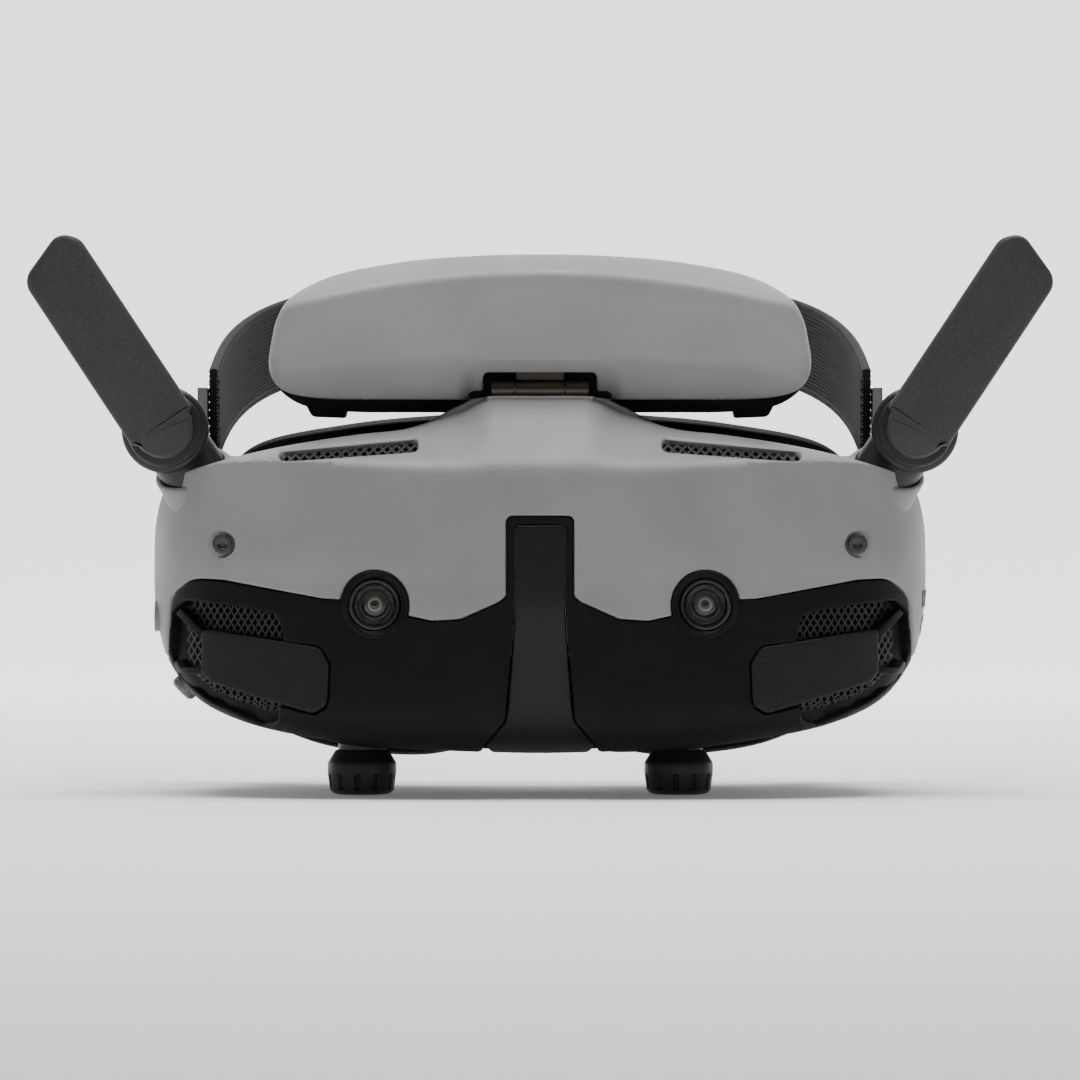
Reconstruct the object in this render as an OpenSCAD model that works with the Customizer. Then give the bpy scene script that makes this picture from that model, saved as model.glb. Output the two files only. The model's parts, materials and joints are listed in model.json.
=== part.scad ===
// Head-worn video goggles for flying model aircraft.
// Frame: +X towards the wearer's left, +Y towards the wearer's face, +Z up.
// Origin: midway between the two eyepieces, at their rear faces, on the optical axes' height.
// All sizes in millimetres.

/* [Housing] */
// Half width of the housing across the temples
body_half_w = 91.2; // [88:0.1:94]
// Distance from the nose face to the seam with the rear housing
body_depth = 56; // [54:0.5:58]
// Y position of the seam between the front shells and the rear housing
seam_y = -6; // [-7:0.5:-5]
// Wall thickness of the moulded shells
wall = 2; // [1.6:0.1:2.4]
// Exponent of the rounded plan shape, 2 is an ellipse
plan_power = 2.6; // [2.4:0.1:3]
// Angle of the top slope behind the brow crest
top_slope = 27; // [24:1:30]

/* [Front cameras] */
// Distance of each camera from the centre plane
camera_x = 37.9; // [36:0.1:40]
// Radius of the camera window
camera_glass_r = 4.8; // [4:0.1:5]
// Radius of the trim ring around the camera
camera_ring_r = 5.9; // [5.5:0.1:6.5]

/* [Eyepieces] */
// Half of the eye spacing at rest, which is the widest setting
eye_x = 37; // [36:0.5:38]
// Outer radius of a focus barrel
barrel_r = 16; // [15:0.5:17]
// Running clearance of the barrels, rods, pins and stems
fit = 0.05; // [0.02:0.01:0.1]
// Radius of the eyepiece lens
lens_r = 13.5; // [12:0.5:14]
// Radius of the seat for a corrective lens
lens_seat_r = 14.5; // [14.2:0.1:14.8]

/* [Focus knobs] */
// Sideways offset of each knob from its eyepiece
knob_offset = -4.6; // [-5:0.1:-4]
// Y position of the knob axes
knob_y = -26; // [-28:0.5:-24]
// Largest radius of a knob
knob_r = 8.03; // [7.5:0.01:8.2]
// Number of grip flutes around a knob
flutes = 11; // [9:1:15]

/* [Antennas] */
// Distance of each antenna pivot from the centre plane
pivot_x = 87; // [86:0.1:88]
// Height of the antenna pivots
pivot_z = 40.4; // [39:0.1:42]
// Lean of a raised antenna from the vertical
antenna_lean = 33.5; // [30:0.5:36]
// Width of an antenna blade
blade_w = 16.5; // [15:0.1:18]
// Length of a blade beyond its pivot
blade_len = 51.3; // [44:0.1:52]
// Thickness of a blade
blade_t = 5.3; // [4.5:0.1:6]
// Radius of the round neck below the pivot
neck_r = 7.6; // [7:0.1:8]

/* [Battery compartment] */
// Y position of the hinge axis
hinge_y = -34.5; // [-35:0.1:-34]
// Height of the hinge axis
hinge_z = 49.8; // [49.5:0.1:50]
// Radius of the hinge barrel
hinge_r = 2.2; // [2:0.1:2.4]
// Y position of the seam between the front and rear compartment shells
pack_seam_y = -22; // [-24:0.5:-20]

/* [Head strap] */
// Width of the elastic band
strap_w = 23; // [20:0.5:25]
// Thickness of the elastic band
strap_t = 2.2; // [1.8:0.1:2.6]
// How far the band reaches behind its anchors
strap_back = 182; // [160:1:200]
// Upward angle of the band towards the back of the head
strap_rise = 9; // [7:0.5:11]

/* [Hidden] */
$fn = 96;

// Sides of the wearer: left is +X, right is -X
LEFT = 1;
RIGHT = -1;
// Hairline gap between neighbouring shells
seam_gap = 0.15;
// Rear of the eyepiece opening plate
plate_y = -4;
// Front plane of the nose
nose_y = seam_y - body_depth;

// ---- outline helpers -------------------------------------------------------------------

// Point on a Catmull-Rom curve between p1 and p2
function curve_point(p0, p1, p2, p3, t) =
    0.5 * (2 * p1 + (p2 - p0) * t + (2 * p0 - 5 * p1 + 4 * p2 - p3) * t * t
    + (3 * p1 - p0 - 3 * p2 + p3) * t * t * t);

// Smooth closed curve through the points, with n steps between neighbours
function smooth_loop(p, n = 3) = let (m = len(p))
    [for (i = [0 : m - 1]) for (k = [0 : n - 1])
        curve_point(p[(i + m - 1) % m], p[i], p[(i + 1) % m], p[(i + 2) % m], k / n)];

// Whole outline from its +X half, listed from the bottom centre to the top centre
function both_sides(p) = concat(p,
    [for (i = [len(p) - 1 : -1 : 0]) if (p[i][0] > 0) [-p[i][0], p[i][1]]]);

// Shrinks an outline towards a centre height by about t on every side
function inset(p, t, half_w, half_h, mid_z) =
    [for (q = p) [q[0] * (1 - t / half_w), mid_z + (q[1] - mid_z) * (1 - t / half_h)]];

// Arc of a circle, from angle a0 to angle a1
function arc(c, r, a0, a1, n = 12) =
    [for (i = [0 : n]) let (a = a0 + (a1 - a0) * i / n) c + r * [cos(a), sin(a)]];

// Rounded superellipse quadrant value
function rounded(v, power) = sign(v) * pow(abs(v), 2 / power);

module along_x(x0, x1) {
    translate([x0, 0, 0]) rotate([90, 0, 90]) linear_extrude(x1 - x0) children();
}

module along_y(y0, y1) {
    translate([0, y1, 0]) rotate([90, 0, 0]) linear_extrude(y1 - y0) children();
}

module along_z(z0, z1) {
    translate([0, 0, z0]) linear_extrude(z1 - z0) children();
}

// Cylinder along Y between two depths
module rod_y(r, y0, y1) {
    translate([0, y1, 0]) rotate([90, 0, 0]) cylinder(r = r, h = y1 - y0);
}

// Cylinder along X between two places
module rod_x(r, x0, x1) {
    translate([x0, 0, 0]) rotate([0, 90, 0]) cylinder(r = r, h = x1 - x0);
}

// Mirrors a part of the wearer's left side onto the right
module on_side(side) {
    if (side == LEFT) children();
    else mirror([1, 0, 0]) children();
}

// ---- housing shape ---------------------------------------------------------------------

face_half = [[0, -35.2], [13.5, -34.8], [35.9, -33.8], [54.2, -31.4], [69, -28], [80.4, -22.4],
    [87.6, -13.2], [90.6, -2.3], [91.2, 8], [90.4, 19.5], [86.4, 29], [76, 33.4], [61.2, 36.7],
    [43.7, 39.6], [27.6, 42.4], [17.5, 46.8], [12, 48.3], [0, 48.4]];

// Side profile as (y, z): bottom, rolled chin, front, brow crest, slope, hinge seat, flat top
side_profile = [[seam_y, -36], [-42, -36], [-52, -34], [-58.5, -29], [-61.4, -20], [nose_y, -8],
    [nose_y, 10], [-61.5, 24], [-60.2, 31.5], [-58.4, 34], [-38.8, 48.3], [-37, 48.4],
    [-36.8, 46.6], [-31.5, 46.6], [-30.8, 43.2], [seam_y, 43.2]];

function face_outline(t) =
    inset(smooth_loop(both_sides(face_half)), t, body_half_w, 40, 5);

function plan_outline(t, back) = let (a_step = 4)
    concat([for (a = [0 : a_step : 180])
        [(body_half_w - t) * rounded(cos(a), plan_power),
         seam_y - (body_depth - t) * rounded(sin(a), plan_power)]],
        [[-(body_half_w - t), back], [body_half_w - t, back]]);

function side_outline(t, back) = concat(
    [for (i = [0 : len(side_profile) - 1]) let (q = side_profile[i])
        [i == 0 || i == len(side_profile) - 1 ? back : q[0] + t,
         5 + (q[1] - 5) * (1 - t / 40)]]);

// The brow crest starts beside the hinge hump and sweeps back towards the temples
crest_start = [14.5, -60.6, 32.4];
crest_yaw = 11.2;
function crest_y(x) = crest_start[1] + (x - crest_start[0]) * tan(crest_yaw);

// Frame of the top slope, with X along the crest and Y up the slope
module slope_place() {
    translate(crest_start) rotate([top_slope, 0, crest_yaw]) children();
}

// The sloping flat beside the hinge hump, cut away above the brow crest
module brow_cut(t) {
    translate(crest_start + [-t, t, -t]) rotate([top_slope, 0, crest_yaw])
        cube([110, 110, 40]);
}

// Solid inside the housing's outer surface, shrunk by t, reaching back to a depth
module housing_solid(t, back = seam_y) {
    difference() {
        intersection() {
            along_y(-70, back) polygon(face_outline(t));
            along_z(-45, 60) polygon(plan_outline(t, back));
            along_x(-100, 100) polygon(side_outline(t, back));
        }
        brow_cut(t);
        mirror([1, 0, 0]) brow_cut(t);
    }
}

// Layer between two depths below the housing's outer surface
module skin(t0, t1) {
    difference() {
        housing_solid(t0);
        housing_solid(t1, seam_y + 1);
    }
}

// Region of the black lower cover, in front view
lower_half = concat(
    [[0, -50], [100, -50], [100, -9.5], [86.8, -9.5], [86.6, -3], [85.8, 0.6], [84.3, 3.2],
     [81.9, 5], [78.4, 5.6], [73.1, 5.4], [59.5, 3.1], [47.1, 0.7]],
    arc([camera_x, 0], 7.8, 10, 190),
    [[29.2, -3], [24.8, -3.7], [20.9, -4], [18.2, -3.6], [8.8, 0.9], [7.7, 2.3], [7.7, 18.9],
     [6.3, 20.2], [0, 20.2]]);
strip_half = [[0, -50], [12.7, -50], [12.7, -32.7], [7.9, -26.9], [5.8, -2], [5.8, 18.3],
    [0, 18.3]];
vent_outline = [[86.5, -11.1], [86.2, -5.2], [85.5, -2], [83.7, -0.1], [80.7, 0.5], [69, -0.8],
    [63, -1.8], [59.8, -2.9], [58.8, -5], [58.8, -23], [59.8, -25.6], [61.4, -27.6], [64.6, -27.7],
    [69, -26.1], [76, -23.2], [80.7, -20.6], [83.7, -17.9], [85.5, -15.9]];
accent_outline = concat([[78.4, -5.8], [51.4, -9.7]], arc([51.6, -12.6], 3, 90, 180, 4),
    arc([51.9, -21.7], 3, 180, 270, 4), [[60.2, -23.2]], [[76, -18.3], [78.4, -15.9]]);

// Air slot on the top slope, in plan, grown by g on every side
function top_slot(g) = [[27.7 - g, crest_y(27.7) + 3 - g], [60 + g, crest_y(60) + 3 - g],
    [60 + g, crest_y(60) + 9 + g], [27.7 - g, crest_y(27.7) + 9 + g]];

// Places of the two front screws
screw_x = 73.3;
screw_z = 13.8;

module collar_axis() {
    translate([pivot_x, -30.8, pivot_z]) rotate([0, antenna_lean, 0]) children();
}

// Raised collar around an antenna neck, cut parallel to the top slope
module collar() {
    difference() {
        collar_axis() translate([0, 0, -26]) cylinder(r = neck_r + 1.2, h = 26);
        translate([80.7, -30.8, 31.4]) rotate([top_slope, 22, 0]) translate([-20, -20, 0])
            cube([40, 40, 30]);
    }
}

module front_housing() {
    color("dimgray") difference() {
        union() {
            difference() {
                union() {
                    skin(0, wall);
                    for (side = [LEFT, RIGHT]) on_side(side) collar();
                }
                housing_solid(wall, seam_y + 1);
            }
            for (side = [LEFT, RIGHT]) on_side(side) translate([screw_x, 0, screw_z])
                rod_y(3.4, -43, -30);
        }
        translate([0, 0, seam_gap]) along_y(-80, 0) polygon(both_sides(lower_half));
        for (side = [LEFT, RIGHT]) on_side(side) {
            translate([screw_x, 0, screw_z]) rod_y(2.84, -60, -44.2);
            translate([screw_x, 0, screw_z]) rod_y(1.1, -60, -29);
            along_z(20, 60) polygon(top_slot(0));
            collar_axis() translate([0, 0, -40]) cylinder(r = neck_r + fit, h = 60);
            translate([camera_x, 0, 0]) rod_y(camera_ring_r + 0.1, -70, -40);
        }
        translate([0, hinge_y, hinge_z]) rod_x(hinge_r + 0.4, -12.4, 12.4);
        // Side openings: USB socket and card slot on the left, back button on the right
        translate([80, -22, -7]) cube([20, 9.4, 3.6]);
        translate([80, -22.5, 0.2]) cube([20, 12, 1.8]);
        translate([0, -20, -3]) rod_x(3.8, -95, -80);
    }
}

module lower_cover() {
    color("#1c1c1e") difference() {
        intersection() {
            skin(0, wall);
            along_y(-80, 0) polygon(both_sides(lower_half));
        }
        translate([0, 0, seam_gap]) along_y(-80, -40)
            polygon([for (q = both_sides(strip_half)) [q[0] + sign(q[0]) * seam_gap, q[1]]]);
        for (side = [LEFT, RIGHT]) {
            on_side(side) {
                along_y(-80, -8) polygon(vent_outline);
                difference() {
                    along_y(-80, -36) polygon(accent_outline);
                    housing_solid(accent_t + 0.05);
                }
                translate([camera_x, 0, 0]) rod_y(camera_ring_r + 0.1, -70, -40);
            }
            knob_slot(side);
        }
        joystick_place() translate([0, 0, -8]) cylinder(r = 4, h = 20);
    }
}

// Slot under each knob, long enough for the eye spacing travel
module knob_slot(side) {
    x_in = side * (eye_x - 8.6) + knob_offset;
    x_out = side * (eye_x + 0.6) + knob_offset;
    for (x = [x_in, x_out]) translate([x, knob_y, -45]) cylinder(r = 7.2, h = 20);
    translate([min(x_in, x_out), knob_y - 7.2, -45]) cube([9.2, 14.4, 20]);
}

module centre_strip() {
    color("#262628") intersection() {
        skin(0, wall);
        along_y(-80, -40) polygon(both_sides(strip_half));
    }
}

// ---- front cameras, screws and vents -----------------------------------------------------

module at_cameras() {
    for (side = [LEFT, RIGHT]) translate([side * camera_x, 0, 0]) children();
}

module camera_trims() {
    color("#141414") at_cameras() difference() {
        rod_y(camera_ring_r, -59.6, -52);
        rod_y(camera_glass_r + fit, -60, -51);
    }
}

module camera_modules() {
    color("#0c0c0e") at_cameras() difference() {
        union() {
            rod_y(4.6, -57, -51);
            translate([-6.5, -51.9, -6.5]) cube([13, 3.9, 13]);
        }
        rod_y(2.6, -58, -56);
    }
}

module camera_windows() {
    color("#2a3432", 0.6) at_cameras() rod_y(camera_glass_r, -59.2, -58);
}

// Thickness and middle of the plate in the vent
accent_t = 1.2;
accent_centre = [63.5, -15.2];

// Plate seated in the cover at its inner end, with two struts across the vent
module accent_plate(side) {
    color("#3a3a3d") on_side(side) union() {
        intersection() {
            skin(0, accent_t);
            along_y(-80, -20) polygon([for (q = accent_outline)
                accent_centre + (q - accent_centre) * 0.99]);
        }
        intersection() {
            skin(0.5, 2.2);
            along_y(-80, -26) union() {
                polygon([[77, -5.6], [84.4, -1.2], [85.2, -2.4], [78, -8]]);
                polygon([[77, -14.6], [85.4, -15], [84.6, -16.6], [77, -16.4]]);
            }
        }
    }
}

// Grille behind the vent opening
module side_vent_mesh(side) {
    color("#101010") on_side(side) difference() {
        intersection() {
            skin(3.6, 4.4);
            along_y(-80, -25) polygon(vent_outline);
        }
        for (i = [0 : 7]) translate([61 + 3 * i, -60, -26 + i * 0.6]) cube([1.4, 60, 23 - i * 0.9]);
    }
}

// Grilles under the two air slots, parallel to the slope
module top_vent_meshes() {
    color("#101010") for (side = [LEFT, RIGHT]) on_side(side) difference() {
        intersection() {
            housing_solid(wall + 0.2);
            slope_place() translate([12.4, 1.9, -4]) cube([37.2, 9.4, 0.9]);
        }
        slope_place() for (i = [0 : 9]) translate([14.6 + 3.4 * i, 3.6, -5]) cube([1.6, 6, 3]);
    }
}

module accent_plate_left() { accent_plate(LEFT); }
module accent_plate_right() { accent_plate(RIGHT); }
module side_vent_mesh_left() { side_vent_mesh(LEFT); }
module side_vent_mesh_right() { side_vent_mesh(RIGHT); }

// Two screws with six-lobed sockets
module front_screws() {
    color("#222224") for (side = [LEFT, RIGHT]) translate([side * screw_x, 0, screw_z])
        difference() {
            union() {
                rod_y(2.27, -45.6, -44.2);
                rod_y(1.05, -44.2, -34);
            }
            rod_y(0.75, -46, -44.8);
            for (i = [0 : 5]) rotate([0, i * 60, 0]) translate([0.75, 0, 0]) rod_y(0.22, -46, -44.8);
        }
}

// ---- rear housing and face parts ---------------------------------------------------------

rear_half = [[0, -34.4], [30, -33.4], [54, -30.8], [69, -27.2], [80, -21], [86.6, -10], [88.2, 6],
    [86, 20], [80, 29], [66, 34.6], [44, 38.4], [24, 41], [0, 42.6]];
face_half_outline = [[0, -17], [6, -20], [12, -29], [20, -34.6], [34, -36], [55, -33], [71, -24],
    [79, -6], [80, 12], [76.5, 28], [67.6, 37.5], [45.3, 42], [23, 44], [0, 44.6]];

// Rear edge of the face shield in plan, following the curve of a face
function face_curve(y0, y1, reach) =
    [for (i = [-12 : 12]) let (x = i * 7.5) [x, y0 + (y1 - y0) * pow(abs(x) / reach, 2)]];

// Ring behind the housing, between two outlines and two face curves
module face_ring(t_out, t_in, front, rear) {
    intersection() {
        along_y(-10, 90) difference() {
            polygon(inset(smooth_loop(both_sides(face_half_outline)), t_out, 80, 40, 5));
            polygon(inset(smooth_loop(both_sides(face_half_outline)), t_in, 80, 40, 5));
        }
        along_z(-60, 60) polygon(concat(front, [for (i = [len(rear) - 1 : -1 : 0]) rear[i]]));
    }
}

// Wall around the eyes, open to the front and the rear
module rear_housing() {
    color("#19191b") difference() {
        along_y(plate_y, 14) polygon(smooth_loop(both_sides(rear_half)));
        along_y(plate_y - 1, 15)
            polygon(inset(smooth_loop(both_sides(rear_half)), wall, 88, 38, 4));
    }
}

// Plate with a window for each eyepiece, and posts that hold the guide rods
module eyepiece_plate() {
    color("#19191b") difference() {
        union() {
            along_y(seam_y, plate_y) polygon(smooth_loop(both_sides(rear_half)));
            for (side = [LEFT, RIGHT]) for (dz = [-1, 1])
                translate([side * 53 - 1.5, rod_depth - 2.4, dz * rod_z_pos - 2.2])
                    cube([3, plate_y - rod_depth + 2, 4.4]);
        }
        for (dz = [-1, 1]) translate([0, rod_depth, dz * rod_z_pos]) rod_x(1.5 + fit, -58, 58);
        for (side = [LEFT, RIGHT]) {
            // Window for one eyepiece, long enough for the eye spacing travel
            translate([side * (eye_x - 8), 0, 0]) rod_y(barrel_r + 1.6, -8, 0);
            translate([side * eye_x, 0, 0]) rod_y(barrel_r + 1.6, -8, 0);
            translate([side * (eye_x - 4) - 4, -8, -barrel_r - 1.6])
                cube([8, 8, 2 * barrel_r + 3.2]);
        }
    }
}

module face_shield() {
    color("#161617") face_ring(0, 4, [[-90, 14], [90, 14]], face_curve(22, 44, 80));
}

module face_foam() {
    color("#202022") face_ring(-1, 8, face_curve(22.3, 44.3, 80), face_curve(33, 59, 80));
}

// ---- electronics ---------------------------------------------------------------------------

module main_board() {
    color("darkgreen") difference() {
        translate([-58, -47.8, -20]) cube([116, 1.4, 46]);
        for (side = [LEFT, RIGHT]) {
            translate([side * camera_x - 7, -50, -7]) cube([14, 4, 14]);
            translate([side * 50, 0, 20]) rod_y(1.3, -50, -44);
        }
    }
}

module heat_sink() {
    color("silver") union() {
        translate([-24, -49.6, -12]) cube([48, 1.6, 34]);
        for (i = [0 : 8]) translate([-23.6 + 5.8 * i, -55.5, -12]) cube([1, 6, 34]);
    }
}

fan_x = 64.7;
fan_z = -10.4;
fan_front = -38;

module fan_housing(side) {
    color("#1a1a1a") translate([side * fan_x, 0, fan_z]) difference() {
        translate([-10, fan_front, -10]) cube([20, 6.4, 20]);
        rod_y(9.2, fan_front + 1, -30);
        rod_y(7.5, -50, -36);
    }
}

module fan_rotor(side) {
    color("#2b2b2b") translate([side * fan_x, fan_front + 1.4, fan_z]) union() {
        rod_y(3.6, 0, 4.6);
        for (i = [0 : 8]) rotate([0, i * 40, 0]) translate([3.2, 0.4, -0.4]) cube([5.4, 4, 0.8]);
    }
}

module fan_housing_left() { fan_housing(LEFT); }
module fan_housing_right() { fan_housing(RIGHT); }
module fan_rotor_left() { fan_rotor(LEFT); }
module fan_rotor_right() { fan_rotor(RIGHT); }

// ---- eyepieces -------------------------------------------------------------------------------

rod_depth = -36;
rod_z_pos = 19.6;
carriage_half = 17.5;

module guide_rods() {
    color("silver") for (dz = [-1, 1]) translate([0, rod_depth, dz * rod_z_pos]) rod_x(1.5, -54.4, 54.4);
}

// Moulded block that slides on the rods and carries one display, barrel and knob
module carriage(side) {
    color("#303033") translate([side * eye_x, 0, 0]) difference() {
        union() {
            rod_y(carriage_half, -44, -16);
            for (dz = [-1, 1]) translate([-12, rod_depth - 3.4, dz * rod_z_pos - 3.2])
                cube([24, 6.8, 6.4]);
            translate([knob_offset, knob_y, -26]) cylinder(r = 5, h = 11);
        }
        rod_y(barrel_r + fit, -34, -10);
        rod_y(11, -42, -30);
        for (dz = [-1, 1]) translate([0, rod_depth, dz * rod_z_pos]) rod_x(1.5 + fit, -20, 20);
        translate([knob_offset, knob_y, -30]) cylinder(r = 3 + fit, h = 13.2);
    }
}

module focus_barrel(side) {
    color("#0f0f10") translate([side * eye_x, 0, 0]) difference() {
        rod_y(barrel_r, -31, 0);
        rod_y(lens_r - 0.6, -32, -8);
        rod_y(lens_r, -8.2, -2);
        rod_y(lens_seat_r, -2.1, 1);
    }
}

// Half thickness of the biconvex lens at a radius
function lens_half(r) = 2.6 - r * r / 100;
lens_steps = 12;

module eyepiece_lens(side) {
    edge = lens_r - 0.02;
    radii = [for (i = [0 : lens_steps]) edge * i / lens_steps];
    color("lightblue", 0.5) translate([side * eye_x, -5.2, 0]) rotate([90, 0, 0])
        rotate_extrude() polygon(concat([for (r = radii) [r, -lens_half(r)]],
            [for (i = [lens_steps : -1 : 0]) [radii[i], lens_half(radii[i])]]));
}

module display(side) {
    color("#101828") translate([side * eye_x - 7.5, -41.8, -6.5]) cube([15, 1.6, 13]);
}

module knob_stem(side) {
    color("#3a3a3c") translate([side * eye_x + knob_offset, knob_y, 0]) union() {
        translate([0, 0, -36]) cylinder(r = 3, h = 17.6);
        translate([0, 0, -42]) cylinder(r = 2, h = 6.5);
    }
}

// Profile of a knob as (radius, height)
knob_profile = [[5.55, -31.6], [5.55, -34.2], [6.15, -34.2], [knob_r, -37.2], [knob_r, -39.2],
    [7.46, -43.1], [6.9, -44.1], [5.9, -44.6]];

module knob(side) {
    color("#26262a") translate([side * eye_x + knob_offset, knob_y, 0]) difference() {
        rotate_extrude() polygon(concat([[0, -44.6], [0, -31.6]], knob_profile));
        translate([0, 0, -36.1]) cylinder(r = 3 + fit, h = 8);
        translate([0, 0, -42.1]) cylinder(r = 2 + fit, h = 8);
        for (i = [0 : flutes - 1]) rotate([0, 0, 264 + i * 360 / flutes])
            translate([7.1, -0.57, -43.3]) cube([2, 1.15, 3.6]);
    }
}

module carriage_left() { carriage(LEFT); }
module carriage_right() { carriage(RIGHT); }
module focus_barrel_left() { focus_barrel(LEFT); }
module focus_barrel_right() { focus_barrel(RIGHT); }
module eyepiece_lens_left() { eyepiece_lens(LEFT); }
module eyepiece_lens_right() { eyepiece_lens(RIGHT); }
module display_left() { display(LEFT); }
module display_right() { display(RIGHT); }
module knob_stem_left() { knob_stem(LEFT); }
module knob_stem_right() { knob_stem(RIGHT); }
module knob_left() { knob(LEFT); }
module knob_right() { knob(RIGHT); }

// ---- antennas ----------------------------------------------------------------------------------

knuckle_front = -41.2;
knuckle_rear = -27;
blade_front = knuckle_front - 0.3 - blade_t;

module at_pivot() {
    translate([pivot_x, 0, pivot_z]) rotate([0, antenna_lean, 0]) children();
}

// Neck that stands in the collar, with a round knuckle at its top
module antenna_base(side) {
    color("#3c3c3e") on_side(side) difference() {
        union() {
            at_pivot() rod_y(9, knuckle_front, knuckle_rear);
            collar_axis() translate([0, 0, -22]) cylinder(r = neck_r, h = 22);
        }
        at_pivot() rod_y(2, -45, -30);
    }
}

// Flat paddle with a slanted outer end
blade_half = blade_w / 2;
end_normal = 71;
module antenna_blade(side) {
    color("#464648") on_side(side) at_pivot() difference() {
        along_y(blade_front, knuckle_front - 0.3) polygon(concat(
            arc([0, 0], blade_half, 0, -180, 20),
            arc([-blade_half + 3.5, blade_len - 4.9], 3.5, 180, end_normal, 6),
            arc([blade_half - 4, blade_len - 8.5], 4, end_normal, 0, 6)));
        rod_y(2 + fit, -60, -20);
    }
}

module antenna_pin(side) {
    color("#2a2a2a") on_side(side) at_pivot() rod_y(2, blade_front + 0.6, -30);
}

module antenna_base_left() { antenna_base(LEFT); }
module antenna_base_right() { antenna_base(RIGHT); }
module antenna_blade_left() { antenna_blade(LEFT); }
module antenna_blade_right() { antenna_blade(RIGHT); }
module antenna_pin_left() { antenna_pin(LEFT); }
module antenna_pin_right() { antenna_pin(RIGHT); }

// ---- battery compartment -------------------------------------------------------------------------

pack_half = [[0, 44.8], [45, 44.8], [56, 46.4], [61.5, 51], [63.4, 56], [62, 66.5], [57.9, 72.1],
    [48.4, 76.8], [31.7, 80.2], [0, 81.8]];
pack_side_front = [[pack_seam_y, 47.2], [-31.6, 47.2], [-37.6, 56], [-38.9, 62], [-38.9, 70],
    [-38, 76.4], [-36, 78.4], [pack_seam_y, 82.5]];
pack_side_rear = [[pack_seam_y, 44.8], [pack_seam_y, 82.5], [-6, 80.6], [1, 75], [4.4, 66],
    [4.6, 56], [2, 47], [-2, 44.8]];

function pack_outline(t) = inset(smooth_loop(both_sides(pack_half)), t, 63, 18.5, 63.3);

// Shrinks a side profile by t, leaving the seam side open
function pack_profile(p, t, open) =
    [for (q = p) [q[0] == pack_seam_y ? open : q[0] + (q[0] > pack_seam_y ? -t : t),
        63.3 + (q[1] - 63.3) * (1 - t / 18.5)]];

module pack_solid(p, t, open) {
    intersection() {
        along_y(-60, 20) polygon(pack_outline(t));
        along_x(-70, 70) polygon(pack_profile(p, t, open));
        along_z(40, 90) polygon([for (a = [0 : 4 : 359])
            [(63.6 - t) * rounded(cos(a), 3.4), -17 + (25 - t) * rounded(sin(a), 3.4)]]);
    }
}

// Notch around the hinge barrel
module hinge_notch() {
    translate([-13, -50, 44]) cube([26, 25, 9.8]);
    along_y(-50, -33) polygon([[-16.9, 53.7], [-13.9, 56.3], [13.9, 56.3], [16.9, 53.7]]);
}

module battery_front_shell() {
    color("#9b9b9d") difference() {
        pack_solid(pack_side_front, 0, pack_seam_y);
        pack_solid(pack_side_front, wall, pack_seam_y + 1);
        hinge_notch();
    }
}

// Rear half with two feet that come down towards the housing
module battery_rear_shell() {
    color("#1b1b1d") difference() {
        union() {
            pack_solid(pack_side_rear, 0, pack_seam_y + 0.1);
            for (side = [LEFT, RIGHT]) on_side(side) along_y(-20.5, -7)
                polygon([[45.2, 47], [45.8, 43.6], [53.6, 43.9], [55.2, 47.2]]);
        }
        pack_solid(pack_side_rear, wall, pack_seam_y - 1);
        translate([57, -8, 62]) rod_x(3.2 + fit, 0, 12);
    }
}

module battery_cells() {
    color("#27408b") for (i = [-1, 1]) translate([i * 26, -8.4, 62.6]) rod_x(9.1, -23, 23);
}

module battery_board() {
    color("darkgreen") translate([-48, -20.5, 55]) cube([96, 1.2, 17]);
}

module power_button() {
    color("#0e0e0f") translate([0, -8, 62]) rod_x(3.2, 58.5, 63.8);
}

// Fixed hinge leaf with the two outer knuckles
module hinge_bracket() {
    color("#6b6259") translate([0, hinge_y, 0]) difference() {
        union() {
            for (side = [LEFT, RIGHT]) {
                translate([side * 8.6, 0, hinge_z]) rod_x(hinge_r, -2.75, 2.75);
                translate([side * 8.6 - 2.75, 0.2, 46.7]) cube([5.5, 2, 3.1]);
            }
            translate([-11.3, 0.2, 46.7]) cube([22.6, 2, 0.7]);
        }
        translate([0, 0, hinge_z]) rod_x(0.9, -20, 20);
    }
}

// Moving hinge leaf with the middle knuckle, fixed inside the compartment
module hinge_arm() {
    color("#6b6259") translate([0, hinge_y, 0]) difference() {
        union() {
            translate([0, 0, hinge_z]) rod_x(hinge_r, -5.7, 5.7);
            translate([-5.7, 0.2, hinge_z]) cube([11.4, 2, 4]);
            translate([-5.7, 0.2, hinge_z + 4]) cube([11.4, 8, 2]);
        }
        translate([0, 0, hinge_z]) rod_x(0.9 + fit, -20, 20);
    }
}

module hinge_pin() {
    color("#8a8178") translate([0, hinge_y, hinge_z]) rod_x(0.9, -11.3, 11.3);
}

// Cushion on the compartment's rear face
module forehead_pad() {
    color("#222224") intersection() {
        along_y(4.9, 17) polygon(pack_outline(7));
        along_z(40, 90) polygon([for (a = [0 : 6 : 359])
            [54 * rounded(cos(a), 3), 5 + 11.5 * rounded(sin(a), 3)]]);
    }
}

// ---- controls ----------------------------------------------------------------------------------------

module joystick_place() {
    translate([-82.3, -20, -18.8]) rotate([0, 180 + 45, 0]) children();
}

// Tilting ring inside the cover, on two round trunnions
module joystick_gimbal() {
    color("#58585a") joystick_place() union() {
        translate([0, 0, -3]) difference() {
            cylinder(r = 3.6, h = 1);
            translate([0, 0, -1]) cylinder(r = 2.2, h = 3);
        }
        for (x = [-3.95, 3.4]) translate([0, 0, -2.5]) rod_x(0.45, x, x + 0.55);
    }
}

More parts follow.
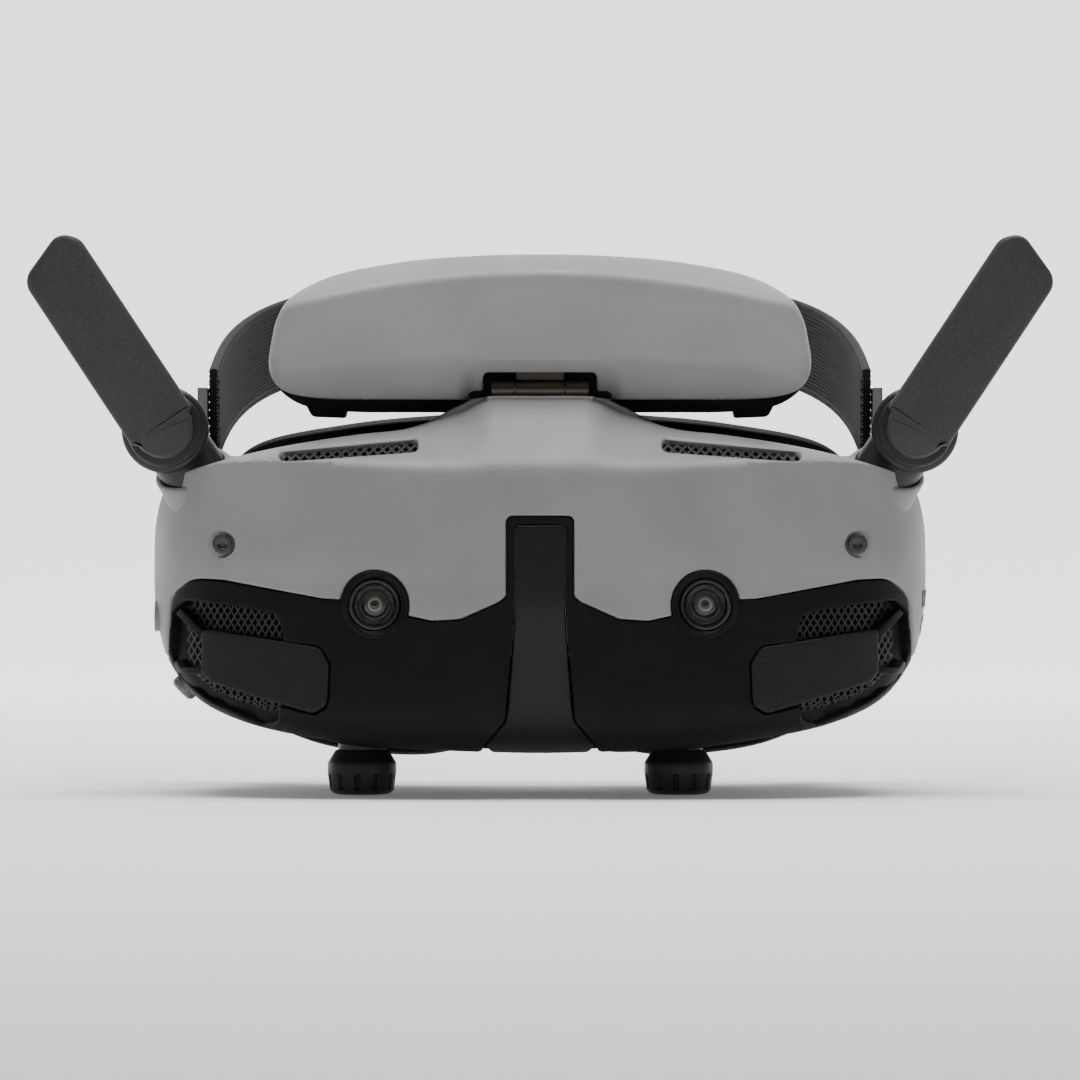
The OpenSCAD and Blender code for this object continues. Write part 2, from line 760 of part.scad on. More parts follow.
// Stick with a round cross pin that rests in the ring
module joystick_stem() {
    color("#58585a") joystick_place() union() {
        translate([0, 0, -4]) cylinder(r = 1.4, h = 5.5);
        translate([0, 0, -2.5]) rod_y(0.45, -2.1, 2.1);
    }
}

// Domed cap that can be pressed down on the stem
module joystick_cap() {
    color("#8c8c8e") joystick_place() difference() {
        union() {
            translate([0, 0, 0.6]) cylinder(r = 3.2, h = 1.4);
            translate([0, 0, 2]) cylinder(r1 = 3.2, r2 = 2.2, h = 0.9);
        }
        cylinder(r = 1.4 + fit, h = 2.2);
    }
}

module back_button() {
    color("#8c8c8e") translate([0, -20, -3]) rod_x(3.6, -90.3, -86);
}

module usb_socket() {
    color("silver") difference() {
        translate([79, -21.8, -6.8]) cube([9.6, 9, 3.2]);
        translate([80, -21.4, -6.4]) cube([9.6, 8.2, 2.4]);
    }
}

module card_slot() {
    color("silver") difference() {
        translate([74, -22.9, -0.2]) cube([12.8, 12.8, 2.6]);
        translate([75, -22.3, 0.4]) cube([14.4, 11.6, 1.4]);
    }
}

// ---- head strap ----------------------------------------------------------------------------------------

strap_half = 77.8;
anchor_y = 6;
anchor_z = 44.2;

// Centre line of the band in its own plane, n points from the left anchor to the right one
function strap_line(r) = [for (i = [0 : 64]) let (a = 180 * i / 64)
    [(strap_half + r) * rounded(cos(a), 3), (strap_back + r) * rounded(sin(a), 3)]];

module strap_place() {
    translate([0, anchor_y, anchor_z]) rotate([strap_rise, 0, 0]) children();
}

module head_strap() {
    color("#151516") strap_place() along_z(-strap_w / 2, strap_w / 2) polygon(concat(
        strap_line(strap_t / 2), [for (i = [64 : -1 : 0]) strap_line(-strap_t / 2)[i]]));
}

// Brackets that hold the ends of the band
module strap_hooks() {
    color("#6f6f72") for (side = [LEFT, RIGHT]) on_side(side) difference() {
        union() {
            translate([79.2, 0.5, 28]) cube([2.2, 13, 23]);
            translate([73, 0.5, 27]) cube([9, 13, 5]);
        }
        along_y(-1, 15) polygon(smooth_loop(both_sides(rear_half)));
    }
}

// Sliding length adjuster around the back of the band
module strap_buckle() {
    color("#202022") strap_place() translate([0, strap_back, 0]) difference() {
        translate([-7, -2.6, -strap_w / 2 - 2.4]) cube([14, 5.2, strap_w + 4.8]);
        translate([-8, -1.7, -strap_w / 2 - 0.4]) cube([16, 3.4, strap_w + 0.8]);
    }
}

front_housing();
lower_cover();
centre_strip();
camera_trims();
camera_modules();
camera_windows();
accent_plate_left();
accent_plate_right();
side_vent_mesh_left();
side_vent_mesh_right();
top_vent_meshes();
front_screws();
rear_housing();
eyepiece_plate();
face_shield();
face_foam();
main_board();
heat_sink();
fan_housing_left();
fan_housing_right();
fan_rotor_left();
fan_rotor_right();
guide_rods();
carriage_left();
carriage_right();
focus_barrel_left();
focus_barrel_right();
eyepiece_lens_left();
eyepiece_lens_right();
display_left();
display_right();
knob_stem_left();
knob_stem_right();
knob_left();
knob_right();
antenna_base_left();
antenna_base_right();
antenna_blade_left();
antenna_blade_right();
antenna_pin_left();
antenna_pin_right();
hinge_bracket();
hinge_arm();
hinge_pin();
battery_front_shell();
battery_rear_shell();
battery_cells();
battery_board();
forehead_pad();
power_button();
joystick_gimbal();
joystick_stem();
joystick_cap();
back_button();
head_strap();
strap_hooks();
strap_buckle();
usb_socket();
card_slot();
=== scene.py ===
"""FPV goggles: the visible model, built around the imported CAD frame.

Sizes are in millimetres in the outline tables and are turned into metres when a mesh is made.
The front faces -Y, +X is the wearer's left and Z is up, as in the CAD frame.
"""
import json
import math
import bmesh
import bpy
import numpy as np
from mathutils import Matrix, Vector
from mathutils.geometry import delaunay_2d_cdt

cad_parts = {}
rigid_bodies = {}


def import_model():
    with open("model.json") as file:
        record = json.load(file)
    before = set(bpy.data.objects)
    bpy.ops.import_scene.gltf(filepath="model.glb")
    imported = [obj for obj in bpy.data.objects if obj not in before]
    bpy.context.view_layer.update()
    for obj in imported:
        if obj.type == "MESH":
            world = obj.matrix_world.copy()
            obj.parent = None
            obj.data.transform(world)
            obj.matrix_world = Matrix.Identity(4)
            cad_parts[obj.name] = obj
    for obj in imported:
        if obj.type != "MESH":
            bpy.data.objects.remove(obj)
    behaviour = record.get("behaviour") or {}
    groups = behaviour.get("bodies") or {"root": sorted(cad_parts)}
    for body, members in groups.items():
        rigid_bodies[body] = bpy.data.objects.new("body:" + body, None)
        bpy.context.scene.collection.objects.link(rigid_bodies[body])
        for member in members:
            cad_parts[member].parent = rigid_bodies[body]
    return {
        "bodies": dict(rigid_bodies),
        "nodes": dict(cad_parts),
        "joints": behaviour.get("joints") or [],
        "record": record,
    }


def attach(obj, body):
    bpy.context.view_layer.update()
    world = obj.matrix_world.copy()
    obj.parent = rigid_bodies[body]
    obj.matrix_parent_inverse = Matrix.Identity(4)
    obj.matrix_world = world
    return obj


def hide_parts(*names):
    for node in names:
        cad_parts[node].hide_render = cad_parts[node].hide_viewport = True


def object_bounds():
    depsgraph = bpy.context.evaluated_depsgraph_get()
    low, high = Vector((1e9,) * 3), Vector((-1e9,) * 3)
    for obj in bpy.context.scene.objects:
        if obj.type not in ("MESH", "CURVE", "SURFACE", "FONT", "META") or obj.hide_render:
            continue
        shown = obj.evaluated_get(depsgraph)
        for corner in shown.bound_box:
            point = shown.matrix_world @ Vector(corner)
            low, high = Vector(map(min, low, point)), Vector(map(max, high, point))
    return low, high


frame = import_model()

CAD_BOX = [list(corner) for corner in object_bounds()]
MM = 0.001
SIDES = {"left": 1, "right": -1}


# ---- outlines ------------------------------------------------------------------------------

def smooth_loop(points, steps=6):
    """Closed Catmull-Rom curve through the points."""
    p = np.array(points, float)
    t = np.linspace(0, 1, steps, endpoint=False)[:, None]
    rows = []
    for i in range(len(p)):
        a, b, c, d = p[i - 1], p[i], p[(i + 1) % len(p)], p[(i + 2) % len(p)]
        rows.append(0.5 * (2 * b + (c - a) * t + (2 * a - 5 * b + 4 * c - d) * t ** 2
                           + (3 * b - a - 3 * c + d) * t ** 3))
    return np.vstack(rows)


def both_sides(half):
    """Whole loop from its +X half, which runs from the bottom centre to the top centre."""
    half = [tuple(q) for q in half]
    return np.array(half + [(-x, z) for x, z in reversed(half) if x > 0.001])


def rounded(corners, default=1.0, steps=6):
    """Loop with filleted corners. A corner is (x, z) or (x, z, radius)."""
    pts = [np.array(c[:2], float) for c in corners]
    radii = [c[2] if len(c) > 2 else default for c in corners]
    out = []
    for i, p in enumerate(pts):
        a, b = pts[i - 1] - p, pts[(i + 1) % len(pts)] - p
        la, lb = np.linalg.norm(a), np.linalg.norm(b)
        a, b = a / la, b / lb
        half = math.acos(np.clip(a @ b, -1, 1)) / 2
        if radii[i] < 0.02 or half > 1.5:
            out.append(p)
            continue
        cut = min(radii[i] / math.tan(half), 0.49 * la, 0.49 * lb)
        r = cut * math.tan(half)
        centre = p + (a + b) / np.linalg.norm(a + b) * r / math.sin(half)
        v0, v1 = p + a * cut - centre, p + b * cut - centre
        a0 = math.atan2(v0[1], v0[0])
        turn = (math.atan2(v1[1], v1[0]) - a0 + math.pi) % (2 * math.pi) - math.pi
        out += [centre + r * np.array([math.cos(a0 + turn * k / steps),
                                       math.sin(a0 + turn * k / steps)])
                for k in range(steps + 1)]
    return np.array(out)


def circle(cx, cz, r, n=48):
    a = np.arange(n) * 2 * math.pi / n
    return np.stack([cx + r * np.cos(a), cz + r * np.sin(a)], 1)


def arc(cx, cz, r, a0, a1, n=10):
    """Points of an arc, angles in degrees."""
    a = np.radians(np.linspace(a0, a1, n + 1))
    return [(cx + r * math.cos(v), cz + r * math.sin(v)) for v in a]


def mirrored(loop):
    """The same loop on the other side of the centre plane."""
    return np.array(loop)[::-1] * [-1, 1]


def on_side(s, loop):
    """A loop drawn for the +X side, on side s."""
    return np.array(loop) if s > 0 else mirrored(loop)


def area(loop):
    x, z = loop[:, 0], loop[:, 1]
    return 0.5 * float(np.sum(x * np.roll(z, -1) - np.roll(x, -1) * z))


def resample(loop, step):
    """Same loop with no edge longer than step."""
    out = []
    for i, p in enumerate(loop):
        q = loop[(i + 1) % len(loop)]
        n = max(1, int(math.ceil(np.linalg.norm(q - p) / step)))
        out += [p + (q - p) * k / n for k in range(n)]
    out = np.array(out)
    keep = np.linalg.norm(out - np.roll(out, 1, 0), axis=1) > 0.02
    return out[keep]


def inward(loop):
    """Unit normals of a counter-clockwise loop, pointing to its inside."""
    t = np.roll(loop, -1, 0) - np.roll(loop, 1, 0)
    t /= np.maximum(np.linalg.norm(t, axis=1, keepdims=True), 1e-9)
    return np.stack([-t[:, 1], t[:, 0]], 1)


def grown(loop, d):
    """Loop moved outwards by d."""
    loop = np.array(loop, float)
    if area(loop) < 0:
        loop = loop[::-1]
    return loop - inward(loop) * d


def inside(points, loop):
    """Even-odd test of many points against one loop."""
    x, z = points[:, 0][:, None], points[:, 1][:, None]
    ax, az = loop[:, 0][None], loop[:, 1][None]
    bx, bz = np.roll(loop[:, 0], -1)[None], np.roll(loop[:, 1], -1)[None]
    crosses = (az > z) != (bz > z)
    with np.errstate(divide="ignore", invalid="ignore"):
        at = (bx - ax) * (z - az) / (bz - az) + ax
    return (np.sum(crosses & (x < at), 1) % 2) == 1


def distance(points, loop):
    """Shortest distance of many points to one closed loop."""
    a, b = loop, np.roll(loop, -1, 0)
    ab = b - a
    length2 = np.maximum(np.sum(ab * ab, 1), 1e-12)
    best = np.full(len(points), 1e9)
    for s in range(0, len(points), 4000):
        p = points[s:s + 4000][:, None, :]
        t = np.clip(np.sum((p - a[None]) * ab[None], 2) / length2[None], 0, 1)
        near = a[None] + ab[None] * t[..., None]
        best[s:s + 4000] = np.min(np.linalg.norm(p - near, axis=2), 1)
    return best


# ---- meshes --------------------------------------------------------------------------------

def make_object(name, verts_mm, faces, sharp=34):
    """Smooth-shaded mesh object, with edges sharper than the angle kept sharp."""
    mesh = bpy.data.meshes.new(name)
    mesh.from_pydata([tuple(v * MM for v in p) for p in verts_mm], [], faces)
    mesh.validate()
    mesh.polygons.foreach_set("use_smooth", [True] * len(mesh.polygons))
    mesh.update()
    mesh.set_sharp_from_angle(angle=math.radians(sharp))
    obj = bpy.data.objects.new(name, mesh)
    bpy.context.scene.collection.objects.link(obj)
    return obj


def upright(obj):
    """Turns a closed mesh's faces outwards."""
    bm = bmesh.new()
    bm.from_mesh(obj.data)
    bmesh.ops.recalc_face_normals(bm, faces=bm.faces)
    bm.to_mesh(obj.data)
    bm.free()
    return obj


def finish_piece(obj, material, body="housing", slot=None, replaces=()):
    """Gives a piece its material and body and hides the CAD nodes it stands for; slot is not used."""
    obj.data.materials.append(material)
    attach(obj, body)
    if replaces:
        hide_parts(*replaces)
    return obj


def closed_piece(name, lists, *facts):
    """Piece with its faces turned outwards."""
    return finish_piece(upright(make_object(name, *lists)), *facts)


def sheet_piece(name, lists, *facts):
    """Piece whose faces already look outwards."""
    return finish_piece(make_object(name, *lists), *facts)


def flip(lists):
    """The same mesh with its faces turned over."""
    return lists[0], [tuple(f[::-1]) for f in lists[1]]


def join_lists(parts):
    """Joins (verts, faces) lists into one."""
    verts, faces = [], []
    for v, f in parts:
        base = len(verts)
        verts += [tuple(p) for p in v]
        faces += [tuple(i + base for i in face) for face in f]
    return verts, faces


def panel_lists(outline, surface, holes=(), bevel=0.45, wall=2.0, spacing=1.5, sink=0.0,
                sign=1, step=0.9, rims=(), wall_to=None):
    """Curved plate on a surface y = surface(x, z), with rounded edges and walls turned inwards.

    sign is 1 where the plate faces -Y and -1 where it faces +Y. rims gives extra rows of
    points, as distances from the outline, where the surface bends quickly near its edge.
    wall_to gives the depth where each wall ends, or nan for a wall of even depth.
    """
    outline = resample(np.array(outline, float), step)
    if area(outline) < 0:
        outline = outline[::-1]
    loops = [outline]
    for h in holes:
        h = resample(np.array(h, float), step * 0.7)
        loops.append(h if area(h) < 0 else h[::-1])
    points = [np.vstack(loops)]
    rows = [bevel * f for f in (0.12, 0.35, 0.65, 1.0)] + [bevel + 0.5]
    for k, loop in enumerate(loops):
        normals = inward(loop)
        for d in rows + (list(rims) if k == 0 else []):
            points.append(loop + normals * d)
    lo, hi = outline.min(0), outline.max(0)
    gx = np.arange(lo[0], hi[0], spacing)
    gz = np.arange(lo[1], hi[1], spacing * 0.87)
    grid = np.array([(x + (spacing / 2 if j % 2 else 0), z) for j, z in enumerate(gz) for x in gx])
    candidates = np.vstack(points[1:] + [grid])
    wanted = np.concatenate([np.full(len(p), d) for p, d in zip(
        points[1:], [d for k, _ in enumerate(loops) for d in rows + (list(rims) if k == 0 else [])])]
        + [np.full(len(grid), bevel + 0.5 + spacing * 0.4)])
    ok = inside(candidates, outline)
    for h in loops[1:]:
        ok &= ~inside(candidates, h)
    candidates, wanted = candidates[ok], wanted[ok]
    gaps = np.min([distance(candidates, loop) for loop in loops], 0)
    candidates = candidates[gaps > wanted * 0.93 - 0.001]
    flat = np.vstack([points[0], candidates])
    edges, start = [], 0
    for loop in loops:
        n = len(loop)
        edges += [(start + i, start + (i + 1) % n) for i in range(n)]
        start += n
    v2, _, tris, _, _, _ = delaunay_2d_cdt([Vector(p) for p in flat.tolist()], edges, [], 0, 1e-4)
    v2 = np.array([tuple(v) for v in v2])
    tris = np.array([t for t in tris if len(t) == 3])
    middles = v2[tris].mean(1)
    ok = inside(middles, outline)
    for h in loops[1:]:
        ok &= ~inside(middles, h)
    tris = tris[ok]
    gap = np.min([distance(v2, loop) for loop in loops], 0)
    near = np.clip(bevel - gap, 0, bevel)
    drop = bevel - np.sqrt(np.maximum(bevel ** 2 - near ** 2, 0)) + sink
    x, z = v2[:, 0], v2[:, 1]
    y = surface(x, z)
    h = 0.05
    dx = np.clip((surface(x + h, z) - surface(x - h, z)) / (2 * h), -6, 6)
    dz = np.clip((surface(x, z + h) - surface(x, z - h)) / (2 * h), -6, 6)
    inner = np.stack([-dx, np.ones_like(dx), -dz], 1) * sign
    inner[:, 1] = np.abs(inner[:, 1]) * sign
    if sign < 0:
        inner[:, 0], inner[:, 2] = dx, dz
    inner /= np.linalg.norm(inner, axis=1, keepdims=True)
    top = np.stack([x, y, z], 1) + inner * drop[:, None]
    # Faces towards the viewer, then walls along every boundary edge
    a, b, c = v2[tris[:, 0]], v2[tris[:, 1]], v2[tris[:, 2]]
    turn = (b[:, 0] - a[:, 0]) * (c[:, 1] - a[:, 1]) - (b[:, 1] - a[:, 1]) * (c[:, 0] - a[:, 0])
    faces = [tuple(t) if (s > 0) == (sign > 0) else tuple(t[::-1]) for t, s in zip(tris.tolist(), turn)]
    count = {}
    for f in faces:
        for i in range(3):
            e = (f[i], f[(i + 1) % 3])
            count[e] = count.get(e, 0) + 1
    rim = [e for e in count if (e[1], e[0]) not in count]
    used = sorted({i for e in rim for i in e})
    deep = {i: len(top) + k for k, i in enumerate(used)}
    deeper = top[used] + inner[used] * wall
    if wall_to is not None:
        target = wall_to(top[used])
        straight = np.isfinite(target)
        deeper[straight] = np.stack([top[used][straight, 0], target[straight], top[used][straight, 2]],
                                    1)
    verts = top.tolist() + deeper.tolist()
    faces += [(b_, a_, deep[a_], deep[b_]) for a_, b_ in rim]
    return verts, faces


def panel(name, outline, surface, **options):
    verts, faces = panel_lists(outline, surface, **options)
    return make_object(name, verts, faces)


def lathe_lists(profile, n=64, centre=(0, 0, 0), axis="-y", dent=None, capped=True):
    """Turned piece. profile is (radius, height) pairs, height runs along the axis."""
    profile = np.array(profile, float)
    a = np.arange(n) * 2 * math.pi / n
    verts = []
    for r, h in profile:
        rr = r - (dent(a, h, r) if dent is not None else 0)
        ring = np.stack([rr * np.cos(a), rr * np.sin(a), np.full(n, h)], 1)
        verts.append(ring)
    v = np.vstack(verts)
    frames = {
        "-y": Matrix(((1, 0, 0), (0, 0, -1), (0, 1, 0))),
        "y": Matrix(((1, 0, 0), (0, 0, 1), (0, -1, 0))),
        "z": Matrix(((1, 0, 0), (0, 1, 0), (0, 0, 1))),
        "-z": Matrix(((1, 0, 0), (0, -1, 0), (0, 0, -1))),
        "x": Matrix(((0, 0, 1), (1, 0, 0), (0, 1, 0))),
    }
    m = np.array(frames[axis] if isinstance(axis, str) else axis)
    v = v @ m.T + np.array(centre)
    rows = len(profile)
    faces = [(i * n + k, i * n + (k + 1) % n, (i + 1) * n + (k + 1) % n, (i + 1) * n + k)
             for i in range(rows - 1) for k in range(n)]
    if capped and profile[0][0] > 1e-6:
        faces.append(tuple(range(n))[::-1])
    if capped and profile[-1][0] > 1e-6:
        faces.append(tuple((rows - 1) * n + k for k in range(n)))
    return v.tolist(), faces


def soft_profile(corners, r=0.3, steps=4):
    """Open (radius, height) profile with filleted inner corners."""
    pts = [np.array(c[:2], float) for c in corners]
    out = [pts[0]]
    for i in range(1, len(pts) - 1):
        p = pts[i]
        rr = corners[i][2] if len(corners[i]) > 2 else r
        a, b = pts[i - 1] - p, pts[i + 1] - p
        la, lb = np.linalg.norm(a), np.linalg.norm(b)
        cut = min(rr, 0.45 * la, 0.45 * lb)
        p0, p2 = p + a / la * cut, p + b / lb * cut
        for k in range(steps + 1):
            t = k / steps
            out.append((1 - t) ** 2 * p0 + 2 * t * (1 - t) * p + t ** 2 * p2)
    out.append(pts[-1])
    return np.array(out)


def loft_lists(rings, closed=True, cap=False):
    """Skin through rings with equal point counts."""
    n = len(rings[0])
    verts = [tuple(p) for ring in rings for p in ring]
    last = n if closed else n - 1
    faces = [(i * n + k, i * n + (k + 1) % n, (i + 1) * n + (k + 1) % n, (i + 1) * n + k)
             for i in range(len(rings) - 1) for k in range(last)]
    if cap:
        faces.append(tuple(range(n))[::-1])
        faces.append(tuple((len(rings) - 1) * n + k for k in range(n)))
    return verts, faces


# ---- materials -----------------------------------------------------------------------------

def linear(value):
    """Linear value of a display value from 0 to 255."""
    v = value / 255
    return v / 12.92 if v <= 0.04045 else ((v + 0.055) / 1.055) ** 2.4


def tone(r, g=None, b=None):
    """Linear colour of a display colour."""
    g = r if g is None else g
    b = r if b is None else b
    return (linear(r), linear(g), linear(b), 1.0)


def per_mm(size):
    """Noise scale whose features are about size millimetres."""
    return 1 / (size * MM)


class Shader:
    """Small helper that builds a Principled material with object-space detail."""

    def __init__(self, name, roughness, metallic=0.0, **sockets):
        self.material = bpy.data.materials.new(name)
        self.material.use_nodes = True
        self.tree = self.material.node_tree
        self.bsdf = self.tree.nodes["Principled BSDF"]
        self.bsdf.inputs["Metallic"].default_value = metallic
        self.bsdf.inputs["Roughness"].default_value = roughness
        for key, value in sockets.items():
            self.bsdf.inputs[key].default_value = value
        self.coords = self.tree.nodes.new("ShaderNodeTexCoord").outputs["Object"]
        self.normal = None

    def node(self, kind, **inputs):
        n = self.tree.nodes.new(kind)
        for key, value in inputs.items():
            n.inputs[key.replace("_", " ")].default_value = value
        return n

    def link(self, a, b):
        self.tree.links.new(a, b)

    def noise(self, size, detail=3.0, stretch=None):
        n = self.node("ShaderNodeTexNoise", Scale=per_mm(size), Detail=detail)
        source = self.coords
        if stretch:
            m = self.node("ShaderNodeMapping", Scale=stretch)
            self.link(self.coords, m.inputs["Vector"])
            source = m.outputs["Vector"]
        self.link(source, n.inputs["Vector"])
        return n.outputs["Fac"]

    def cells(self, size, feature="F1"):
        n = self.node("ShaderNodeTexVoronoi", Scale=per_mm(size))
        n.feature = feature
        self.link(self.coords, n.inputs["Vector"])
        return n.outputs["Distance"]

    def remap(self, value, low, high, to_low, to_high):
        n = self.node("ShaderNodeMapRange")
        for key, v in (("From Min", low), ("From Max", high), ("To Min", to_low), ("To Max", to_high)):
            n.inputs[key].default_value = v
        self.link(value, n.inputs["Value"])
        return n.outputs["Result"]

    def math(self, how, a, b=None):
        n = self.node("ShaderNodeMath")
        n.operation = how
        for i, v in enumerate((a, b)):
            if v is None:
                continue
            if isinstance(v, (int, float)):
                n.inputs[i].default_value = v
            else:
                self.link(v, n.inputs[i])
        return n.outputs[0]

    def mix(self, factor, a, b):
        n = self.tree.nodes.new("ShaderNodeMix")
        n.data_type = "RGBA"
        self.link(factor, n.inputs["Factor"])
        for socket, v in ((n.inputs["A"], a), (n.inputs["B"], b)):
            if isinstance(v, tuple):
                socket.default_value = v
            else:
                self.link(v, socket)
        return n.outputs["Result"]

    def bump(self, height, strength, depth_mm):
        n = self.node("ShaderNodeBump", Strength=strength, Distance=depth_mm * MM)
        self.link(height, n.inputs["Height"])
        if self.normal is not None:
            self.link(self.normal, n.inputs["Normal"])
        self.normal = n.outputs["Normal"]

    def edges(self):
        """0 on flats and hollows, 1 on sharp outer edges."""
        n = self.tree.nodes.new("ShaderNodeNewGeometry")
        return self.remap(n.outputs["Pointiness"], 0.53, 0.62, 0.0, 1.0)

    def done(self, colour=None, roughness=None):
        if colour is not None:
            self.link(colour, self.bsdf.inputs["Base Color"])
        if roughness is not None:
            self.link(roughness, self.bsdf.inputs["Roughness"])
        if self.normal is not None:
            self.link(self.normal, self.bsdf.inputs["Normal"])
        return self.material


def moulded(name, colour, roughness=0.5, grain=0.35, grain_depth=0.03, speckle=0.0,
            speckle_size=0.25, speck_colour=None, wear=0.25, shine=0.5, **sockets):
    """Moulded plastic: fine leathery grain, optional speckle, uneven gloss, rubbed edges."""
    s = Shader(name, roughness, **sockets)
    s.bsdf.inputs["Specular IOR Level"].default_value = shine
    base = tone(*colour)
    light = tuple(min(1, c * 1.35 + 0.004) for c in base[:3]) + (1.0,)
    drift = s.remap(s.noise(22, 2), 0.35, 0.65, 0.0, 1.0)
    body = s.mix(drift, tuple(c * 0.94 for c in base[:3]) + (1.0,),
                 tuple(c * 1.05 for c in base[:3]) + (1.0,))
    if speckle:
        specks = s.remap(s.noise(speckle_size, 1), 0.6, 0.68, 0.0, speckle)
        body = s.mix(specks, body, tone(*speck_colour) if speck_colour else light)
    rubbed = s.math("MULTIPLY", s.edges(), s.math("MULTIPLY", s.noise(1.2, 4), wear))
    body = s.mix(rubbed, body, light)
    gloss = s.remap(s.noise(9, 4), 0.3, 0.7, roughness - 0.05, roughness + 0.06)
    s.bump(s.cells(grain, "SMOOTH_F1"), 0.55, grain_depth)
    s.bump(s.noise(grain * 0.45, 2), 0.35, grain_depth * 0.6)
    return s.done(body, gloss)


def metal(name, colour, roughness=0.3, brush=(1, 1, 30), **sockets):
    """Bare or tinted metal with fine brushing."""
    s = Shader(name, roughness, metallic=1.0, **sockets)
    base = tone(*colour)
    body = s.mix(s.noise(3, 3), tuple(c * 0.85 for c in base[:3]) + (1.0,), base)
    lines = s.noise(0.8, 3, stretch=brush)
    s.bump(lines, 0.25, 0.01)
    return s.done(body, s.remap(lines, 0.3, 0.7, roughness - 0.06, roughness + 0.1))


def fabric(name, colour, weave=0.5, fuzz_and_highlight=0.15, **sockets):
    """Knitted cover cloth: crossing threads, fuzz and slight unevenness, with painted highlight on the
    thread tops and painted shade between the threads.
    """
    s = Shader(name, 0.85, **sockets)
    base = tone(*colour)
    wave_a = s.node("ShaderNodeTexWave", Scale=per_mm(weave) / 6.28, Distortion=0.6, Detail_Scale=2.0)
    wave_a.bands_direction = "DIAGONAL"
    s.link(s.coords, wave_a.inputs["Vector"])
    cells = s.cells(weave, "F1")
    # Painted highlight on the thread tops and painted shade in the gaps between threads: the colour
    # follows the same cells as the bump.
    body = s.mix(s.remap(cells, 0.1, 0.6, 0.0,
                         1.0), tuple(c * 1.5 + fuzz_and_highlight * 0.02 for c in base[:3]) + (1.0,),
                 tuple(c * 0.6 for c in base[:3]) + (1.0,))
    s.bump(s.math("SUBTRACT", 1.0, cells), 0.8, 0.12)
    s.bump(wave_a.outputs["Fac"], 0.25, 0.05)
    s.bump(s.noise(2.5, 3), 0.3, 0.15)
    return s.done(body)


def glass(name, tint, alpha, roughness=0.03):
    """Coated window: glossy, mostly clear."""
    s = Shader(name, roughness, Alpha=alpha, IOR=1.5)
    s.bsdf.inputs["Coat Weight"].default_value = 0.6
    s.bsdf.inputs["Coat Roughness"].default_value = 0.03
    body = s.mix(s.noise(6, 2), tone(*tint), tuple(c * 1.3 for c in tone(*tint)[:3]) + (1.0,))
    s.material.surface_render_method = "BLENDED"
    return s.done(body, s.remap(s.noise(1.5, 3), 0.3, 0.7, roughness, roughness + 0.03))


def coated_glass(name, inner, outer):
    """Dark camera glass with a faint coloured sheen towards its rim, painted into the colour where the
    surface turns away from the view.
    """
    s = Shader(name, 0.06)
    s.bsdf.inputs["Coat Weight"].default_value = 1.0
    s.bsdf.inputs["Coat Roughness"].default_value = 0.02
    weight = s.tree.nodes.new("ShaderNodeLayerWeight")
    weight.inputs["Blend"].default_value = 0.35
    # Painted sheen: the colour runs from inner to outer as the surface turns away from the view.
    body = s.mix(weight.outputs["Facing"], tone(*inner), tone(*outer))
    return s.done(body, s.remap(s.noise(0.9, 3), 0.3, 0.7, 0.04, 0.09))


GREY = moulded("housing_grey", (132, 132, 134), 0.5, grain=0.42, grain_depth=0.04, speckle=0.25,
               speck_colour=(108, 108, 110), speckle_size=0.3)
PACK_GREY = moulded("compartment_grey", (150, 150, 152), 0.48, grain=0.38, grain_depth=0.03,
                    speckle=0.25, speck_colour=(126, 126, 128), speckle_size=0.3)
BLACK = moulded("cover_black", (11, 11, 12), 0.55, grain=0.4, grain_depth=0.04, speckle=0.25,
                speck_colour=(34, 34, 36), speckle_size=0.25, shine=0.14)
SATIN_BLACK = moulded("strip_black", (20, 20, 22), 0.34, grain=0.5, grain_depth=0.008, shine=0.22)
DEEP_BLACK = moulded("inner_black", (10, 10, 11), 0.6, grain=0.5, grain_depth=0.02, shine=0.15)
ACCENT = moulded("accent_speckled", (22, 22, 24), 0.5, grain=0.5, grain_depth=0.05, speckle=0.6,
                 speck_colour=(48, 48, 50), speckle_size=0.24, shine=0.2)
ANTENNA = moulded("antenna_grey", (52, 52, 54), 0.55, grain=0.35, grain_depth=0.035, speckle=0.55,
                  speck_colour=(82, 82, 84), speckle_size=0.32, shine=0.35)
KNOB = moulded("knob_black", (38, 38, 40), 0.4, grain=0.6, grain_depth=0.01, shine=0.35)
HOOK = moulded("hook_grey", (112, 112, 114), 0.5, grain=0.4, grain_depth=0.02)
RUBBER = moulded("shield_rubber", (16, 16, 17), 0.68, grain=0.7, grain_depth=0.02, shine=0.25)
# Camera trim: dark grey plastic, set lighter as a painted highlight for its bright edges.
TRIM = moulded("camera_trim", (28, 28, 29), 0.3, grain=0.6, grain_depth=0.006, shine=0.4)
BRONZE = metal("hinge_bronze", (84, 76, 68), 0.36)
STEEL = metal("pin_steel", (170, 170, 172), 0.3)
BLACK_STEEL = metal("screw_black", (84, 84, 86), 0.38)
FOAM = fabric("face_cloth", (36, 36, 38), 0.7)
WINDOW = glass("camera_window", (10, 14, 13), 0.14)
# Lens colours are far lighter than dark glass: painted reflection of the light the lenses catch, plus the
# painted sheen of coated_glass.
GREEN_LENS_PAINTED_SHEEN = coated_glass("lens_green_painted_sheen", (70, 76, 66), (92, 98, 86))
PALE_LENS_PAINTED_REFLECTION = coated_glass("lens_pale_painted_reflection", (140, 146, 134), (160, 166, 154))
EYE_LENS = glass("eyepiece_glass", (60, 68, 78), 0.2)
